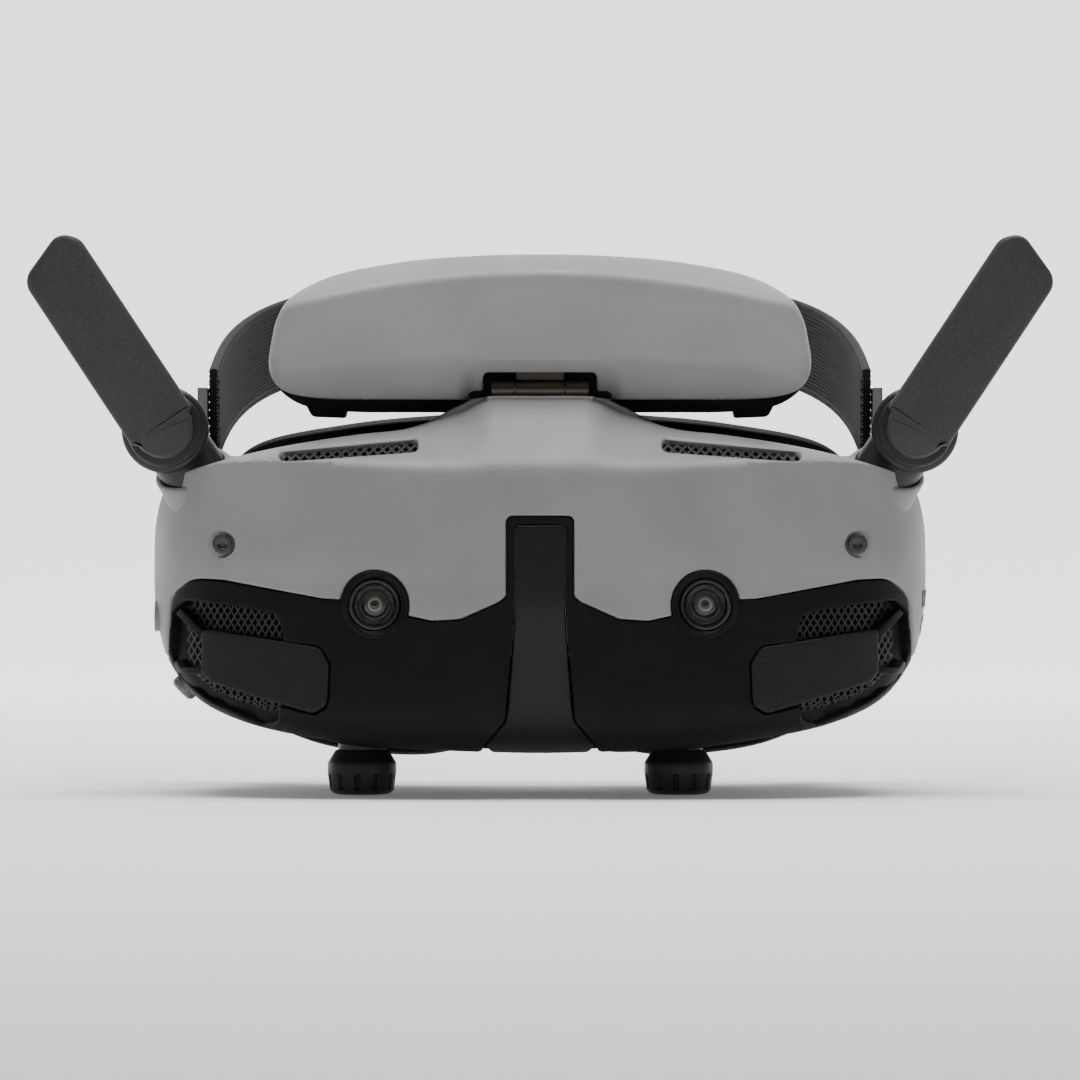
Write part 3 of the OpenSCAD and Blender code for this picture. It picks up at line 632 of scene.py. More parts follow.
# The display face carries the same painted sheen from coated_glass.
SCREEN = coated_glass("display_face", (10, 12, 18), (40, 46, 66))
GRILLE = moulded("grille_black", (22, 22, 23), 0.45, grain=0.5, grain_depth=0.005)
NECK = moulded("neck_grey", (34, 34, 36), 0.4, grain=0.4, grain_depth=0.015, shine=0.35)
STRAP = fabric("strap_elastic", (17, 17, 18), 0.4)
THREAD = fabric("strap_thread", (26, 26, 27), 0.3)
BOARD = moulded("board_green", (20, 72, 44), 0.35, grain=1.2, grain_depth=0.02, speckle=0.6,
                speck_colour=(150, 140, 90),
                speckle_size=0.6)
FINS = metal("fins_aluminium", (190, 190, 192), 0.3)
WRAP = moulded("cell_wrap", (38, 64, 130), 0.25, grain=2.0, grain_depth=0.01)


# ---- housing surface -----------------------------------------------------------------------

SEAM_Y = -6.0
BODY_DEPTH = 56.0
MIDDLE = (0.0, 5.0)
CREST_Z = 31.9
HUMP_REAR_Y = -33.2
FACE_HALF = [(0, -35.2), (13.5, -34.8), (35.9, -33.8), (54.2, -31.4), (69, -28), (80.4, -22.4),
             (87.6, -13.2), (90.6, -2.3), (91.2, 8), (90.4, 19.5), (86.4, 28.6), (76, 33.0),
             (61.2, 36.7), (43.7, 39.6), (32.4, 40.9), (25.5, 43.0), (19, 46.2), (13.5, 48.2),
             (0, 48.4)]
FACE = smooth_loop(both_sides(FACE_HALF), 8)
_angles = np.arctan2(FACE[:, 1] - MIDDLE[1], FACE[:, 0] - MIDDLE[0])
_order = np.argsort(_angles)
FACE_ANGLE = _angles[_order]
FACE_REACH = np.hypot(FACE[:, 0] - MIDDLE[0], FACE[:, 1] - MIDDLE[1])[_order]


def smoothstep(a, b, v):
    t = np.clip((v - a) / (b - a), 0, 1)
    return t * t * (3 - 2 * t)


def front_y(x, z):
    """Depth of the housing's outer surface: a rounded shell with a sloping brow."""
    dx, dz = x - MIDDLE[0], z - MIDDLE[1]
    reach = np.interp(np.arctan2(dz, dx), FACE_ANGLE, FACE_REACH, period=2 * math.pi)
    q = np.clip(np.hypot(dx, dz) / reach, 0, 1)
    upright = (dz / 40) ** 2 / ((dx / 91) ** 2 + (dz / 40) ** 2 + 1e-6)
    power = 2.6 + (np.where(dz > 0, 13.0, 7.0) - 2.6) * upright
    depth = BODY_DEPTH * (1 - q ** power) ** (1 / power)
    above = z - CREST_Z
    run = 1.3 + 0.65 * smoothstep(10, 20, np.abs(x))
    brow = run * 0.5 * (np.sqrt(above ** 2 + 2.0 ** 2) + above) * (1 - smoothstep(68, 84, np.abs(x)))
    hump_rear = np.where(np.abs(x) < 12.6, -37.1, -33.3)
    limit = SEAM_Y + (hump_rear - SEAM_Y) * smoothstep(43.05, 43.5, z)
    swept = np.clip(np.abs(x) / 91.2, 0, 1)
    plan = SEAM_Y - BODY_DEPTH * (1 - swept ** 2.6) ** (1 / 2.6)
    face = SEAM_Y - depth + brow
    face = 0.5 * (face + plan + np.sqrt((face - plan) ** 2 + 1.0)) - 0.3
    return np.minimum(face, limit)


SPLIT_END_Z = -13.3
SPLIT_HALF = rounded([(-20, 20.25, 0), (7.7, 20.25, 1.4), (7.7, 2.0, 1.2), (9.2, 0.6, 1.2),
                      (18.2, -3.4, 4), (24.8, -3.8, 4), (30.35, -2.6, 0.6)]
                     + arc(37.9, 0, 7.8, 185, 8, 16)
                     + [(50.0, 1.3, 3), (73.5, 5.5, 12), (81.0, 5.8, 6), (86.0, 2.0, 5),
                        (86.6, -5, 6), (87.5, SPLIT_END_Z, 0), (60, -60, 0)])
SPLIT_HALF = np.array([p for p in SPLIT_HALF if p[0] > 0.5 and p[1] > SPLIT_END_Z - 0.01])
STRIP_HALF = rounded([(-20, 18.3, 0), (5.8, 18.3, 0.8), (5.8, -2, 6), (7.9, -26.9, 3),
                      (12.7, -32.7, 0), (12.7, -60, 0)])
STRIP_HALF = np.array([p for p in STRIP_HALF if p[0] > 0.2 and p[1] > -40])


def silhouette(test):
    """Run of face outline points that pass the test, in order from lower right to lower left."""
    return [tuple(p) for p in FACE if test(p)]


upper = silhouette(lambda p: p[1] > SPLIT_END_Z)
upper_loop = np.array(upper + [(-x, z) for x, z in SPLIT_HALF[::-1]] + [tuple(p) for p in SPLIT_HALF])
low_right = [p for p in silhouette(lambda p: p[0] > 12.9 and p[1] <= SPLIT_END_Z)]
low_left = [(-x, z) for x, z in low_right[::-1]]
strip_up_left = [(-x, z) for x, z in STRIP_HALF[::-1]]
lower_loop = np.array(low_right + [tuple(p) for p in SPLIT_HALF[::-1]]
                      + [(-x, z) for x, z in SPLIT_HALF] + low_left
                      + strip_up_left + [tuple(p) for p in STRIP_HALF])
bottom = [tuple(p) for p in FACE if abs(p[0]) < 12.6 and p[1] < 0]
bottom.sort()
strip_loop = np.array(bottom + [tuple(p) for p in STRIP_HALF[::-1]] + strip_up_left[::-1])

ACCENT_LOOP = rounded([(78.5, -5.8, 1.0), (50.6, -9.8, 3), (48.4, -13.6, 2), (48.9, -23.0, 2.4),
                       (52.0, -25.2, 2), (76.5, -18.1, 1.5), (78.6, -15.8, 1.5)])
VENT_LOOP = rounded([(86.6, -11.3, 4), (86.0, -1.6, 4), (82.5, 0.9, 3), (69, -0.6, 8),
                     (60.4, -2.4, 2), (58.9, -8.6, 0.3), (50.5, -9.5, 3), (48.1, -13.6, 2),
                     (48.6, -23.4, 2.4), (51.8, -25.6, 1.5), (59.9, -23.3, 0.3), (60.6, -27.8, 1.6),
                     (64.0, -28.4, 2), (76, -23.5, 8), (84.5, -18.0, 5)])
TOP_SLOT = rounded([(28.0, 35.3, 1.3), (59.9, 32.9, 1.3), (60.2, 35.6, 1.3), (28.2, 38.5, 1.3)])
SCREW = (73.3, 13.8)
CAMERA_X = 37.9

screw_holes = [circle(s * SCREW[0], SCREW[1], 2.84, 32) for s in (1, -1)]
slots = [TOP_SLOT, mirrored(TOP_SLOT)]
vents = [VENT_LOOP, mirrored(VENT_LOOP)]
camera_holes = [circle(s * CAMERA_X, 0, 6.05, 48) for s in (1, -1)]
RIMS = (0.05, 0.2, 0.5, 0.9, 1.5, 2.2, 3.0)

GAP = 0.13


def to_seam(points):
    """Depth where a shell's wall ends: the rear seam, or the back of the raised middle."""
    target = np.where(points[:, 2] > 43.0, HUMP_REAR_Y, SEAM_Y)
    return np.where(distance(points[:, [0, 2]], FACE) < 1.05, target, np.nan)


finish_piece(panel("front_shell", grown(upper_loop, -GAP), front_y,
                   holes=[grown(h, 0) for h in screw_holes + slots], bevel=0.55, wall=2.2,
                   spacing=1.6, rims=RIMS, wall_to=to_seam),
             GREY, "housing", "grey_shell", ["front_housing"])
finish_piece(panel("lower_shell", grown(lower_loop, -GAP), front_y, holes=vents + camera_holes,
                   bevel=0.45, wall=2.6, spacing=1.6, rims=RIMS, sink=0.15, wall_to=to_seam),
             BLACK, "housing", "black_cover", ["lower_cover"])


def strip_y(x, z):
    """The nose strip: flat above, sinking between the cheeks below."""
    dip = 0.5 * (np.sqrt((-2 - z) ** 2 + 9) + (-2 - z))
    return np.minimum(front_y(x * 0.4, z) + 0.22 * dip, SEAM_Y)


finish_piece(panel("nose_strip", grown(strip_loop, -GAP), strip_y, bevel=0.4, wall=2.0,
                   spacing=1.4, sink=0.1, wall_to=to_seam),
             SATIN_BLACK, "housing", "gloss_black", ["centre_strip"])


# ---- helpers for pieces that follow a surface ------------------------------------------------

def sunk(surface, x, z, depth):
    """Points a given depth below a surface, along its inner normal."""
    x, z = np.asarray(x, float), np.asarray(z, float)
    h = 0.05
    dx = np.clip((surface(x + h, z) - surface(x - h, z)) / (2 * h), -4, 4)
    dz = np.clip((surface(x, z + h) - surface(x, z - h)) / (2 * h), -4, 4)
    inner = np.stack([-dx, np.ones_like(dx), -dz], -1)
    inner /= np.linalg.norm(inner, axis=-1, keepdims=True)
    return np.stack([x, surface(x, z), z], -1) + inner * np.asarray(depth)[..., None]


def grille_lists(loop, surface, depth, pitch=1.45, width=0.42, lean=58):
    """Two sets of crossing bars that make diamonds, inside a loop and below a surface."""
    middle = (loop.min(0) + loop.max(0)) / 2
    reach = float(np.linalg.norm(loop.max(0) - loop.min(0))) / 2
    parts = []
    for layer, angle in enumerate((lean, 180 - lean)):
        a = math.radians(angle)
        along, across = np.array([math.cos(a), math.sin(a)]), np.array([-math.sin(a), math.cos(a)])
        for offset in np.arange(-reach, reach, pitch):
            t = np.arange(-reach, reach, 0.8)
            line = middle + across * offset + along * t[:, None]
            ok = inside(line, loop)
            start = 0
            while start < len(t):
                if not ok[start]:
                    start += 1
                    continue
                end = start
                while end < len(t) and ok[end]:
                    end += 1
                run = line[start:end]
                start = end
                if len(run) < 2:
                    continue
                rings = []
                for side, lower in ((-1, 0.5), (-1, 0.0), (1, 0.0), (1, 0.5)):
                    edge = run + across * side * width / 2
                    rings.append(sunk(surface, edge[:, 0], edge[:, 1],
                                      np.full(len(run), depth + lower + 0.06 * layer)))
                parts.append(loft_lists(list(np.stack(rings, 1)), closed=False))
    return join_lists(parts)


def back_plate(name, loop, surface, depth, material, slot):
    """Dark floor below an opening."""
    verts, faces = panel_lists(loop, lambda x, z: surface(x, z) + depth, bevel=0.2, wall=0.6, spacing=3)
    return sheet_piece(name, (verts, faces), material, "housing", slot)


def ring_of(loop, profile, half=(80, 40), middle_z=5.0, y_of=None):
    """Closed band around an outline. profile is (inset, y) pairs, and y_of turns a y into depths."""
    rings = []
    for inset, y in profile:
        pts = np.stack([loop[:, 0] * (1 - inset / half[0]),
                        middle_z + (loop[:, 1] - middle_z) * (1 - inset / half[1])], 1)
        yy = y_of(loop, y) if y_of else np.full(len(loop), float(y))
        rings.append(np.stack([pts[:, 0], yy, pts[:, 1]], 1))
    rings.append(rings[0])
    return loft_lists(rings)


# ---- vents, plates, screws and cameras -------------------------------------------------------

for side, s in SIDES.items():
    mesh_loop = on_side(s, grown(VENT_LOOP, 0.6))
    sheet_piece(f"side_grille_{side}", grille_lists(mesh_loop, front_y, 2.7), GRILLE, "housing",
                "black_plastic", [f"side_vent_mesh_{side}"])
    back_plate(f"vent_floor_{side}", on_side(s, grown(VENT_LOOP, 0.4)), front_y, 4.6, DEEP_BLACK,
               "dark_plastic")
    plate = panel_lists(on_side(s, ACCENT_LOOP), front_y, bevel=0.5, wall=1.5, spacing=1.3)
    upper_strut = rounded([(77.9, -6.6), (83.6, -1.1), (84.8, -2.3), (78.5, -8.4)], 0.3)
    lower_strut = rounded([(78, -14.5), (83.4, -14.9), (84.6, -13.2), (85.4, -13.9), (84.9, -16.4),
                           (78, -16.2)], 0.3)
    struts = [panel_lists(on_side(s, q), lambda x, z: front_y(x, z) + 0.7, bevel=0.3, wall=1.6,
                          spacing=1.2)
              for q in (upper_strut, lower_strut)]
    sheet_piece(f"accent_plate_{side}_cover", plate, ACCENT, "housing", "accent",
                [f"accent_plate_{side}"])
    sheet_piece(f"accent_struts_{side}", join_lists(struts), BLACK, "housing", "accent")

top_bars = [grille_lists(grown(q, 0.5), front_y, 1.2, pitch=1.5, width=0.5, lean=45) for q in slots]
sheet_piece("top_grilles", join_lists(top_bars), GRILLE, "housing", "black_plastic",
            ["top_vent_meshes"])
for side, s in SIDES.items():
    floor_lists = panel_lists(grown(on_side(s, TOP_SLOT), 0.5), front_y, bevel=0.1, wall=0.3,
                              spacing=1.5, sink=2.0)
    sheet_piece(f"slot_floor_{side}", floor_lists, DEEP_BLACK, "housing", "dark_plastic")


def lobes(a, _, r):
    """Six-lobed socket in a screw head."""
    return 0.16 * (1 - np.cos(6 * a)) / 2 if 0.5 < r < 1.0 else 0 * a


head_y = float(front_y(np.array([SCREW[0]]), np.array([SCREW[1]]))[0]) - 0.5
head = soft_profile([(0, -0.7), (0.95, -0.7), (0.95, 0), (2.3, 0), (2.3, -1.3), (1.2, -1.4),
                     (1.2, -6)], 0.22)
seat = [(0, -1.3), (3.3, -1.3), (3.3, -2), (0, -2)]
screw_places = [(s * SCREW[0], head_y, SCREW[1]) for s in (1, -1)]
screws = [lathe_lists(head, 48, place, "-y", dent=lobes) for place in screw_places]
seats = [lathe_lists(seat, 32, place, "-y") for place in screw_places]
closed_piece("screw_heads", join_lists(screws), BLACK_STEEL, "housing", "black_steel", ["front_screws"])
closed_piece("screw_seats", join_lists(seats), GREY, "housing", "grey_shell")


def turret_lists(s, n=72):
    """Rounded lip round one camera that blends into the sloping cover."""
    a = np.arange(n) * 2 * math.pi / n
    rings = []
    for r, flat, lift in ((7.85, 0, -0.15), (7.72, 0, 0.12), (7.5, 0.1, 0.32), (7.2, 0.25, 0.4),
                          (6.9, 0.45, 0.34), (6.6, 0.7, 0.1), (6.3, 0.9, -0.2), (6.08, 1, -0.5),
                          (6.02, 1, -0.9), (6.0, 1, -4)):
        x, z = s * CAMERA_X + r * np.cos(a), r * np.sin(a)
        y = front_y(x, z) * (1 - flat) + front_y(s * CAMERA_X, 0.0) * flat - lift
        rings.append(np.stack([x, y, z], 1))
    return loft_lists(rings)


closed_piece("camera_turrets", join_lists([turret_lists(s) for s in (1, -1)]), BLACK, "housing",
             "black_cover")
eye_y = 59.6
trim = [(5.98, 52), (5.98, eye_y - 0.7), (5.8, eye_y - 0.25), (5.4, eye_y - 0.1), (5.1, eye_y - 0.2),
        (4.9, eye_y - 0.5), (4.86, 52)]
barrel = [(4.6, 57.0), (4.6, 57.7), (4.2, 57.75), (3.7, 57.5), (3.6, 57.2), (3.1, 57.3), (2.75, 57.1),
          (2.7, 56.4)]
CAMERA_PARTS = [
    ("camera_trim", TRIM, "black_plastic", trim, ["camera_trims"]),
    ("camera_barrel", TRIM, "dark_plastic", barrel, []),
    ("camera_lens_outer", GREEN_LENS_PAINTED_SHEEN, "clear_glass", [(2.7, 56.9), (2.5, 57.1), (1.8, 57.25),
                                                      (1.7, 57.1)], []),
    ("camera_lens_middle", PALE_LENS_PAINTED_REFLECTION, "clear_glass", [(1.75, 57.0), (1.6, 57.12), (1.1, 57.2),
                                                      (1.0, 57.0)], []),
    ("camera_lens_inner", GREEN_LENS_PAINTED_SHEEN, "clear_glass", [(1.1, 56.9), (0.9, 57.08), (0.5, 57.16),
                                                      (0.2, 57.18), (0, 57.18)], []),
    ("camera_iris", DEEP_BLACK, "dark_plastic", [(0.42, 57.15), (0.4, 57.22), (0.2, 57.24), (0, 57.24)],
     []),
    ("camera_glass", WINDOW, "clear_glass", [(0, 58.95), (3, 58.95), (4.5, 58.93), (4.8, 58.8),
                                             (4.8, 58.1), (4.5, 58), (0, 58)],
     ["camera_windows"]),
]
for name, material, slot_name, profile, nodes in CAMERA_PARTS:
    both = [lathe_lists(profile, 56, (s * CAMERA_X, 0, 0), "-y", capped=False) for s in (1, -1)]
    closed_piece(name, join_lists(both), material, "housing", slot_name, nodes)


# ---- top deck, collars and rear --------------------------------------------------------------

DECK_Z = 43.1
deck_x = np.linspace(-26, 26, 27)
deck_rows = [np.stack([deck_x, np.full(27, y), np.full(27, z)], 1)
             for y, z in ((-33.3, 47.9), (-33.2, 47), (-33.1, 43.6), (-32.8, DECK_Z + 0.1),
                          (-32, DECK_Z), (-20, DECK_Z), (-6.2, DECK_Z), (-6, DECK_Z - 0.3))]
crown = np.interp(np.abs(deck_x), FACE[(FACE[:, 1] > 38) & (FACE[:, 0] >= 0)][::-1][:, 0],
                  FACE[(FACE[:, 1] > 38) & (FACE[:, 0] >= 0)][::-1][:, 1])
for row in deck_rows[:2]:
    row[:, 2] = np.minimum(row[:, 2], crown - 0.4)
sheet_piece("top_deck", flip(loft_lists(deck_rows, closed=False)), GREY, "housing", "grey_shell")

LEAN = math.radians(33.5)
PIVOT = (87.0, 40.4)


def antenna_frame(s):
    """Across, front and lean directions of one antenna."""
    across = np.array([s * math.cos(LEAN), 0, -math.sin(LEAN)])
    lean = np.array([s * math.sin(LEAN), 0, math.cos(LEAN)])
    return across, np.array([0, -1.0, 0]), lean


def collar_lists(s, n=72):
    """Raised rim where an antenna neck leaves the housing, with a fillet below it."""
    across, front, lean = antenna_frame(s)
    base = np.array([s * PIVOT[0], -30.8, PIVOT[1]])
    normal = np.array([s * 0.3338, -0.454, 0.8261])
    point = np.array([s * 80.7, -30.8, 31.4])
    a = np.arange(n) * 2 * math.pi / n
    rings = []
    for r, lower in ((7.66, 3), (7.7, 0.1), (7.85, -0.25), (8.25, -0.4), (8.65, -0.25), (8.85, 0.1),
                     (8.95, 0.5), (9.3, 1.5), (10.2, 2.8), (11.8, 4.2), (14, 5.8)):
        reach = r - max(0, r - 8.95) * 0.9 * smoothstep(-0.1, 0.6, np.cos(a))
        p = base + reach[:, None] * (np.cos(a)[:, None] * across + np.sin(a)[:, None] * front)
        t = ((point - p) @ normal) / (lean @ normal)
        rings.append(p + (t - lower)[:, None] * lean)
    return loft_lists(rings)


closed_piece("neck_collars", join_lists([collar_lists(s) for s in (1, -1)]), GREY, "housing",
             "grey_shell")


def by_angle(loop, n=240):
    """Loop resampled at equal angles about the housing's middle."""
    a = np.arctan2(loop[:, 1] - MIDDLE[1], loop[:, 0])
    order = np.argsort(a)
    reach = np.hypot(loop[:, 0], loop[:, 1] - MIDDLE[1])[order]
    t = -math.pi / 2 + np.arange(n) * 2 * math.pi / n
    r = np.interp(t, a[order], reach, period=2 * math.pi)
    return np.stack([r * np.cos(t), MIDDLE[1] + r * np.sin(t)], 1)


REAR_HALF = [(0, -34.4), (30, -33.4), (54, -30.8), (69, -27.2), (80, -21), (86.6, -10), (88.2, 6),
             (86, 20), (80, 29), (66, 34.6), (44, 38.4), (24, 41), (0, 42.6)]
SHIELD_HALF = [(0, -17), (6, -20), (12, -29), (20, -34.6), (34, -36), (55, -33), (71, -24), (79, -6),
               (80, 12), (76.5, 28), (67.6, 37.5), (45.3, 42), (23, 44), (0, 44.6)]
face_low = FACE.copy()
face_low[:, 1] = np.minimum(face_low[:, 1], DECK_Z - 0.1)
outer, rear = by_angle(face_low), by_angle(smooth_loop(both_sides(REAR_HALF), 8))


def between(t, shrink, y):
    """Ring part way from the shell's outline to the rear frame's."""
    q = (outer * (1 - t) + rear * t - [0, 5]) * shrink + [0, 5]
    return np.stack([q[:, 0], np.full(len(q), y), q[:, 1]], 1)


rear_rings = [between(0, 0.975, -8), between(0, 0.992, -6.3), between(0, 0.994, -5.7),
              between(0.12, 0.996, -5.2),
              between(0.6, 1, -4.2), between(0.9, 1, -3.4), between(1, 1, -2.2), between(1, 1, 12.6),
              between(1, 0.998, 13.4), between(1, 0.992, 13.9), between(1, 0.982, 14),
              between(1, 0.976, 13.7),
              between(1, 0.974, 13), between(1, 0.974, -4), between(1, 0.97, -5.2)]
closed_piece("rear_wall", loft_lists(rear_rings), BLACK, "housing", "black_plastic", ["rear_housing"])

shield_loop = smooth_loop(both_sides(SHIELD_HALF), 8)


def face_depth(loop, front, edge):
    """Depth of a face-shaped edge: front at the middle, edge at the temples."""
    return front + (edge - front) * (np.abs(loop[:, 0]) / 80) ** 2


def shield_y(loop, t):
    """Depth of the light shield part way, t, from its root to its rear edge."""
    return 13.7 + (face_depth(loop, 22, 44) - 13.7) * np.clip(t, 0, 1) - 0.9 * max(0, t - 1)


shield_profile = [(0.5, 0), (0.15, 0.02), (0, 0.06), (0, 0.5), (0, 0.93), (0.2, 0.98), (0.8, 1),
                  (3.2, 1), (3.8, 0.98), (4, 0.93), (4, 0.5), (4, 0.06), (3.6, 0)]
closed_piece("light_shield", ring_of(shield_loop, shield_profile, y_of=shield_y), RUBBER, "housing",
             "rubber_black", ["face_shield"])


def foam_lists(n=30):
    """Face cushion: a crowned ring with a pinched seam along its outer edge."""
    loop = smooth_loop(both_sides(SHIELD_HALF), 10)
    length = np.concatenate([[0], np.cumsum(np.linalg.norm(np.diff(loop, axis=0), axis=1))])
    low, high = face_depth(loop, 22.2, 44.2), face_depth(loop, 33, 59)
    rings = []
    for k in range(n):
        a = 2 * math.pi * k / n
        c, q = math.cos(a), math.sin(a)
        inset = 3.5 - 4.6 * math.copysign(abs(c) ** 0.72, c)
        seam = sum(deep * math.exp(-((a - at) / 0.09) ** 2) for deep, at in ((0.55, 0.42), (0.35, 2.7)))
        lift = math.copysign(abs(q) ** 0.8, q)
        y = (low + high) / 2 + (high - low) / 2 * lift
        ripple = 0.14 * np.sin(length * 0.9 + 1.7 * math.sin(a)) * max(0, q) * abs(c) ** 0.5
        shrink = inset + seam * math.copysign(1, c) + ripple
        x = loop[:, 0] * (1 - shrink / 80)
        z = 5 + (loop[:, 1] - 5) * (1 - shrink / 40)
        rings.append(np.stack([x, np.maximum(y, low + 0.05) - 0.25 * seam, z], 1))
    rings.append(rings[0])
    return loft_lists(rings)


face_cushion = closed_piece("face_cushion", foam_lists(), FOAM, "housing", "foam_fabric", ["face_foam"])


# ---- battery compartment and hinge -----------------------------------------------------------

PACK_SEAM = -22.0
PACK_MIDDLE = np.array([0, 63.3])
PACK_FRONT_HALF = [(0, 47.2), (30, 47.2), (46, 47.3), (55, 47.9), (60, 49.4), (62.6, 52.3),
                   (63.4, 56.2), (62.7, 61.5), (61.5, 66.4), (57.9, 71.9), (48.4, 76.8), (31.7, 80.2),
                   (15, 81.5), (0, 81.8)]
PACK_REAR_HALF = [(0, 44.8), (30, 44.8), (44, 44.9), (54, 45.9), (60, 49), (62.8, 53.4), (63.2, 57),
                  (62.6, 61.5), (61.4, 66.4), (57.8, 71.9), (48.3, 76.8), (31.6, 80.1), (15, 81.4),
                  (0, 81.7)]
PACK_FRONT = smooth_loop(both_sides(PACK_FRONT_HALF), 8)
_pa = np.arctan2(PACK_FRONT[:, 1] - PACK_MIDDLE[1], PACK_FRONT[:, 0])
_po = np.argsort(_pa)
PACK_ANGLE, PACK_REACH = _pa[_po], np.hypot(PACK_FRONT[:, 0], PACK_FRONT[:, 1] - PACK_MIDDLE[1])[_po]


def softly(v, r):
    """Zero below 0 and v above it, with a rounded corner."""
    return 0.5 * (np.sqrt(v * v + r * r) + v) - 0.25 * r * np.exp(-(v / r) ** 2)


def pack_y(x, z):
    """Front face of the compartment: flat, falling away above a crease and turned under below."""
    dx, dz = x, z - PACK_MIDDLE[1]
    reach = np.interp(np.arctan2(dz, dx), PACK_ANGLE, PACK_REACH, period=2 * math.pi)
    q = np.clip(np.hypot(dx, dz) / reach, 0, 1)
    sideways = (dx / 63) ** 2 / ((dx / 63) ** 2 + (dz / 18) ** 2 + 1e-6)
    power = 26 - 17 * sideways
    depth = 16.9 * (1 - q ** power) ** (1 / power)
    crease = 77.2 - 4.3 * (x / 44) ** 2
    turn = 57.4 - 3.2 * (x / 54) ** 2
    middle = 1 - smoothstep(12.6, 16.8, np.abs(x) - 0.9 * np.clip(56.3 - z, 0, 3))
    under = 0.62 * softly(turn - z, 1.5) * (1 - middle) + 1.15 * softly(56.3 - z, 0.25) * middle
    top = 2.1 * softly(z - crease, 2.4)
    return np.minimum(PACK_SEAM - depth + top + under, PACK_SEAM)


notch = rounded([(-60, 30, 0), (-13.2, 30, 0), (-13.2, 53.5, 1.3), (13.2, 53.5, 1.3), (13.2, 30, 0),
                 (60, 30, 0)])
notch = np.array([p for p in notch if abs(p[0]) < 14 and p[1] > 47.25])
pack_upper = [tuple(p) for p in PACK_FRONT if not (abs(p[0]) < 13.4 and p[1] < 50)]
start = min(range(len(pack_upper)), key=lambda i: math.hypot(pack_upper[i][0] - 13.4,
                                                             pack_upper[i][1] - 47.2)
            if pack_upper[i][0] > 0 else 1e9)
ordered = pack_upper[start:] + pack_upper[:start]
pack_loop = np.array(ordered + [(-13.2, 47.2)] + [tuple(p) for p in notch] + [(13.2, 47.2)])
sheet_piece("compartment_front", panel_lists(pack_loop, pack_y, bevel=0.55,
                                             wall_to=lambda p: np.full(len(p), PACK_SEAM), spacing=1.1,
                                             rims=RIMS), PACK_GREY, "compartment", "pack_grey",
            ["battery_front_shell"])
liner = rounded([(-17, 48.0, 1), (17, 48.0, 1), (17, 57.6, 1), (-17, 57.6, 1)])
sheet_piece("notch_liner", panel_lists(liner, lambda x, z: -31.0 + 0 * x, bevel=0.3, wall=1.2,
                                       spacing=3), DEEP_BLACK, "compartment", "dark_plastic")


def rear_shell_lists(n=26):
    loop = smooth_loop(both_sides(PACK_REAR_HALF), 8)
    rings = []
    for shrink, y in ((0.93, -21.8), (0.985, -21.85), (0.996, -21.7)):
        rings.append((shrink, y))
    for k in range(n):
        a = math.pi / 2 * (k / (n - 1)) ** 0.9
        power = 2 / 3.9
        rings.append((max(0.004, math.cos(a)) ** power, -21.4 + 25.9 * math.sin(a) ** power))
    out = []
    for shrink, y in rings:
        q = (loop - PACK_MIDDLE) * shrink + PACK_MIDDLE
        out.append(np.stack([q[:, 0], np.full(len(q), y), q[:, 1]], 1))
    return loft_lists(out, cap=True)


foot_loop = rounded([(45.2, 46.5, 0.5), (45.8, 43.6, 0.8), (53.6, 43.9, 0.9), (55.2, 47, 0.5)])
feet = [panel_lists(on_side(s, foot_loop), lambda x, z: -20.5 + 0 * x, bevel=0.4, wall=14, spacing=2)
        for s in (1, -1)]
closed_piece("compartment_rear", rear_shell_lists(), BLACK, "compartment", "black_plastic",
             ["battery_rear_shell"])
sheet_piece("compartment_feet", join_lists(feet), BLACK, "compartment", "black_plastic")


HINGE_Y, HINGE_Z = -34.5, 49.8


def knuckle(x0, x1):
    """Hinge knuckle between two places on the hinge's axis."""
    h = 0.22
    profile = [(0.95, x0 + 0.02), (1.9, x0), (2.12, x0 + 0.06), (2.2, x0 + h), (2.2, x1 - h),
               (2.12, x1 - 0.06), (1.9, x1), (0.95, x1 - 0.02)]
    return lathe_lists(profile, 48, (0, HINGE_Y, HINGE_Z), "x")


def bar(x0, x1, y0, y1, z0, z1, r=0.25):
    """Small plate with rounded corners."""
    loop = rounded([(x0, z0), (x1, z0), (x1, z1), (x0, z1)], r)
    return panel_lists(loop, lambda x, z: y0 + 0 * x, bevel=r, wall=y1 - y0, spacing=4)


fixed_leaf = [knuckle(5.85, 11.35), knuckle(-11.35, -5.85), bar(5.9, 11.3, -34.2, -32.3, 46.8, 49.8),
              bar(-11.3, -5.9, -34.2, -32.3, 46.8, 49.8)]
moving_leaf = [knuckle(-5.7, 5.7), bar(-5.6, 5.6, -34.2, -32.4, 49.8, 55.6)]
sheet_piece("hinge_fixed", join_lists(fixed_leaf), BRONZE, "housing", "hinge_metal", ["hinge_bracket"])
sheet_piece("hinge_moving", join_lists(moving_leaf), BRONZE, "compartment", "hinge_metal",
            ["hinge_arm"])


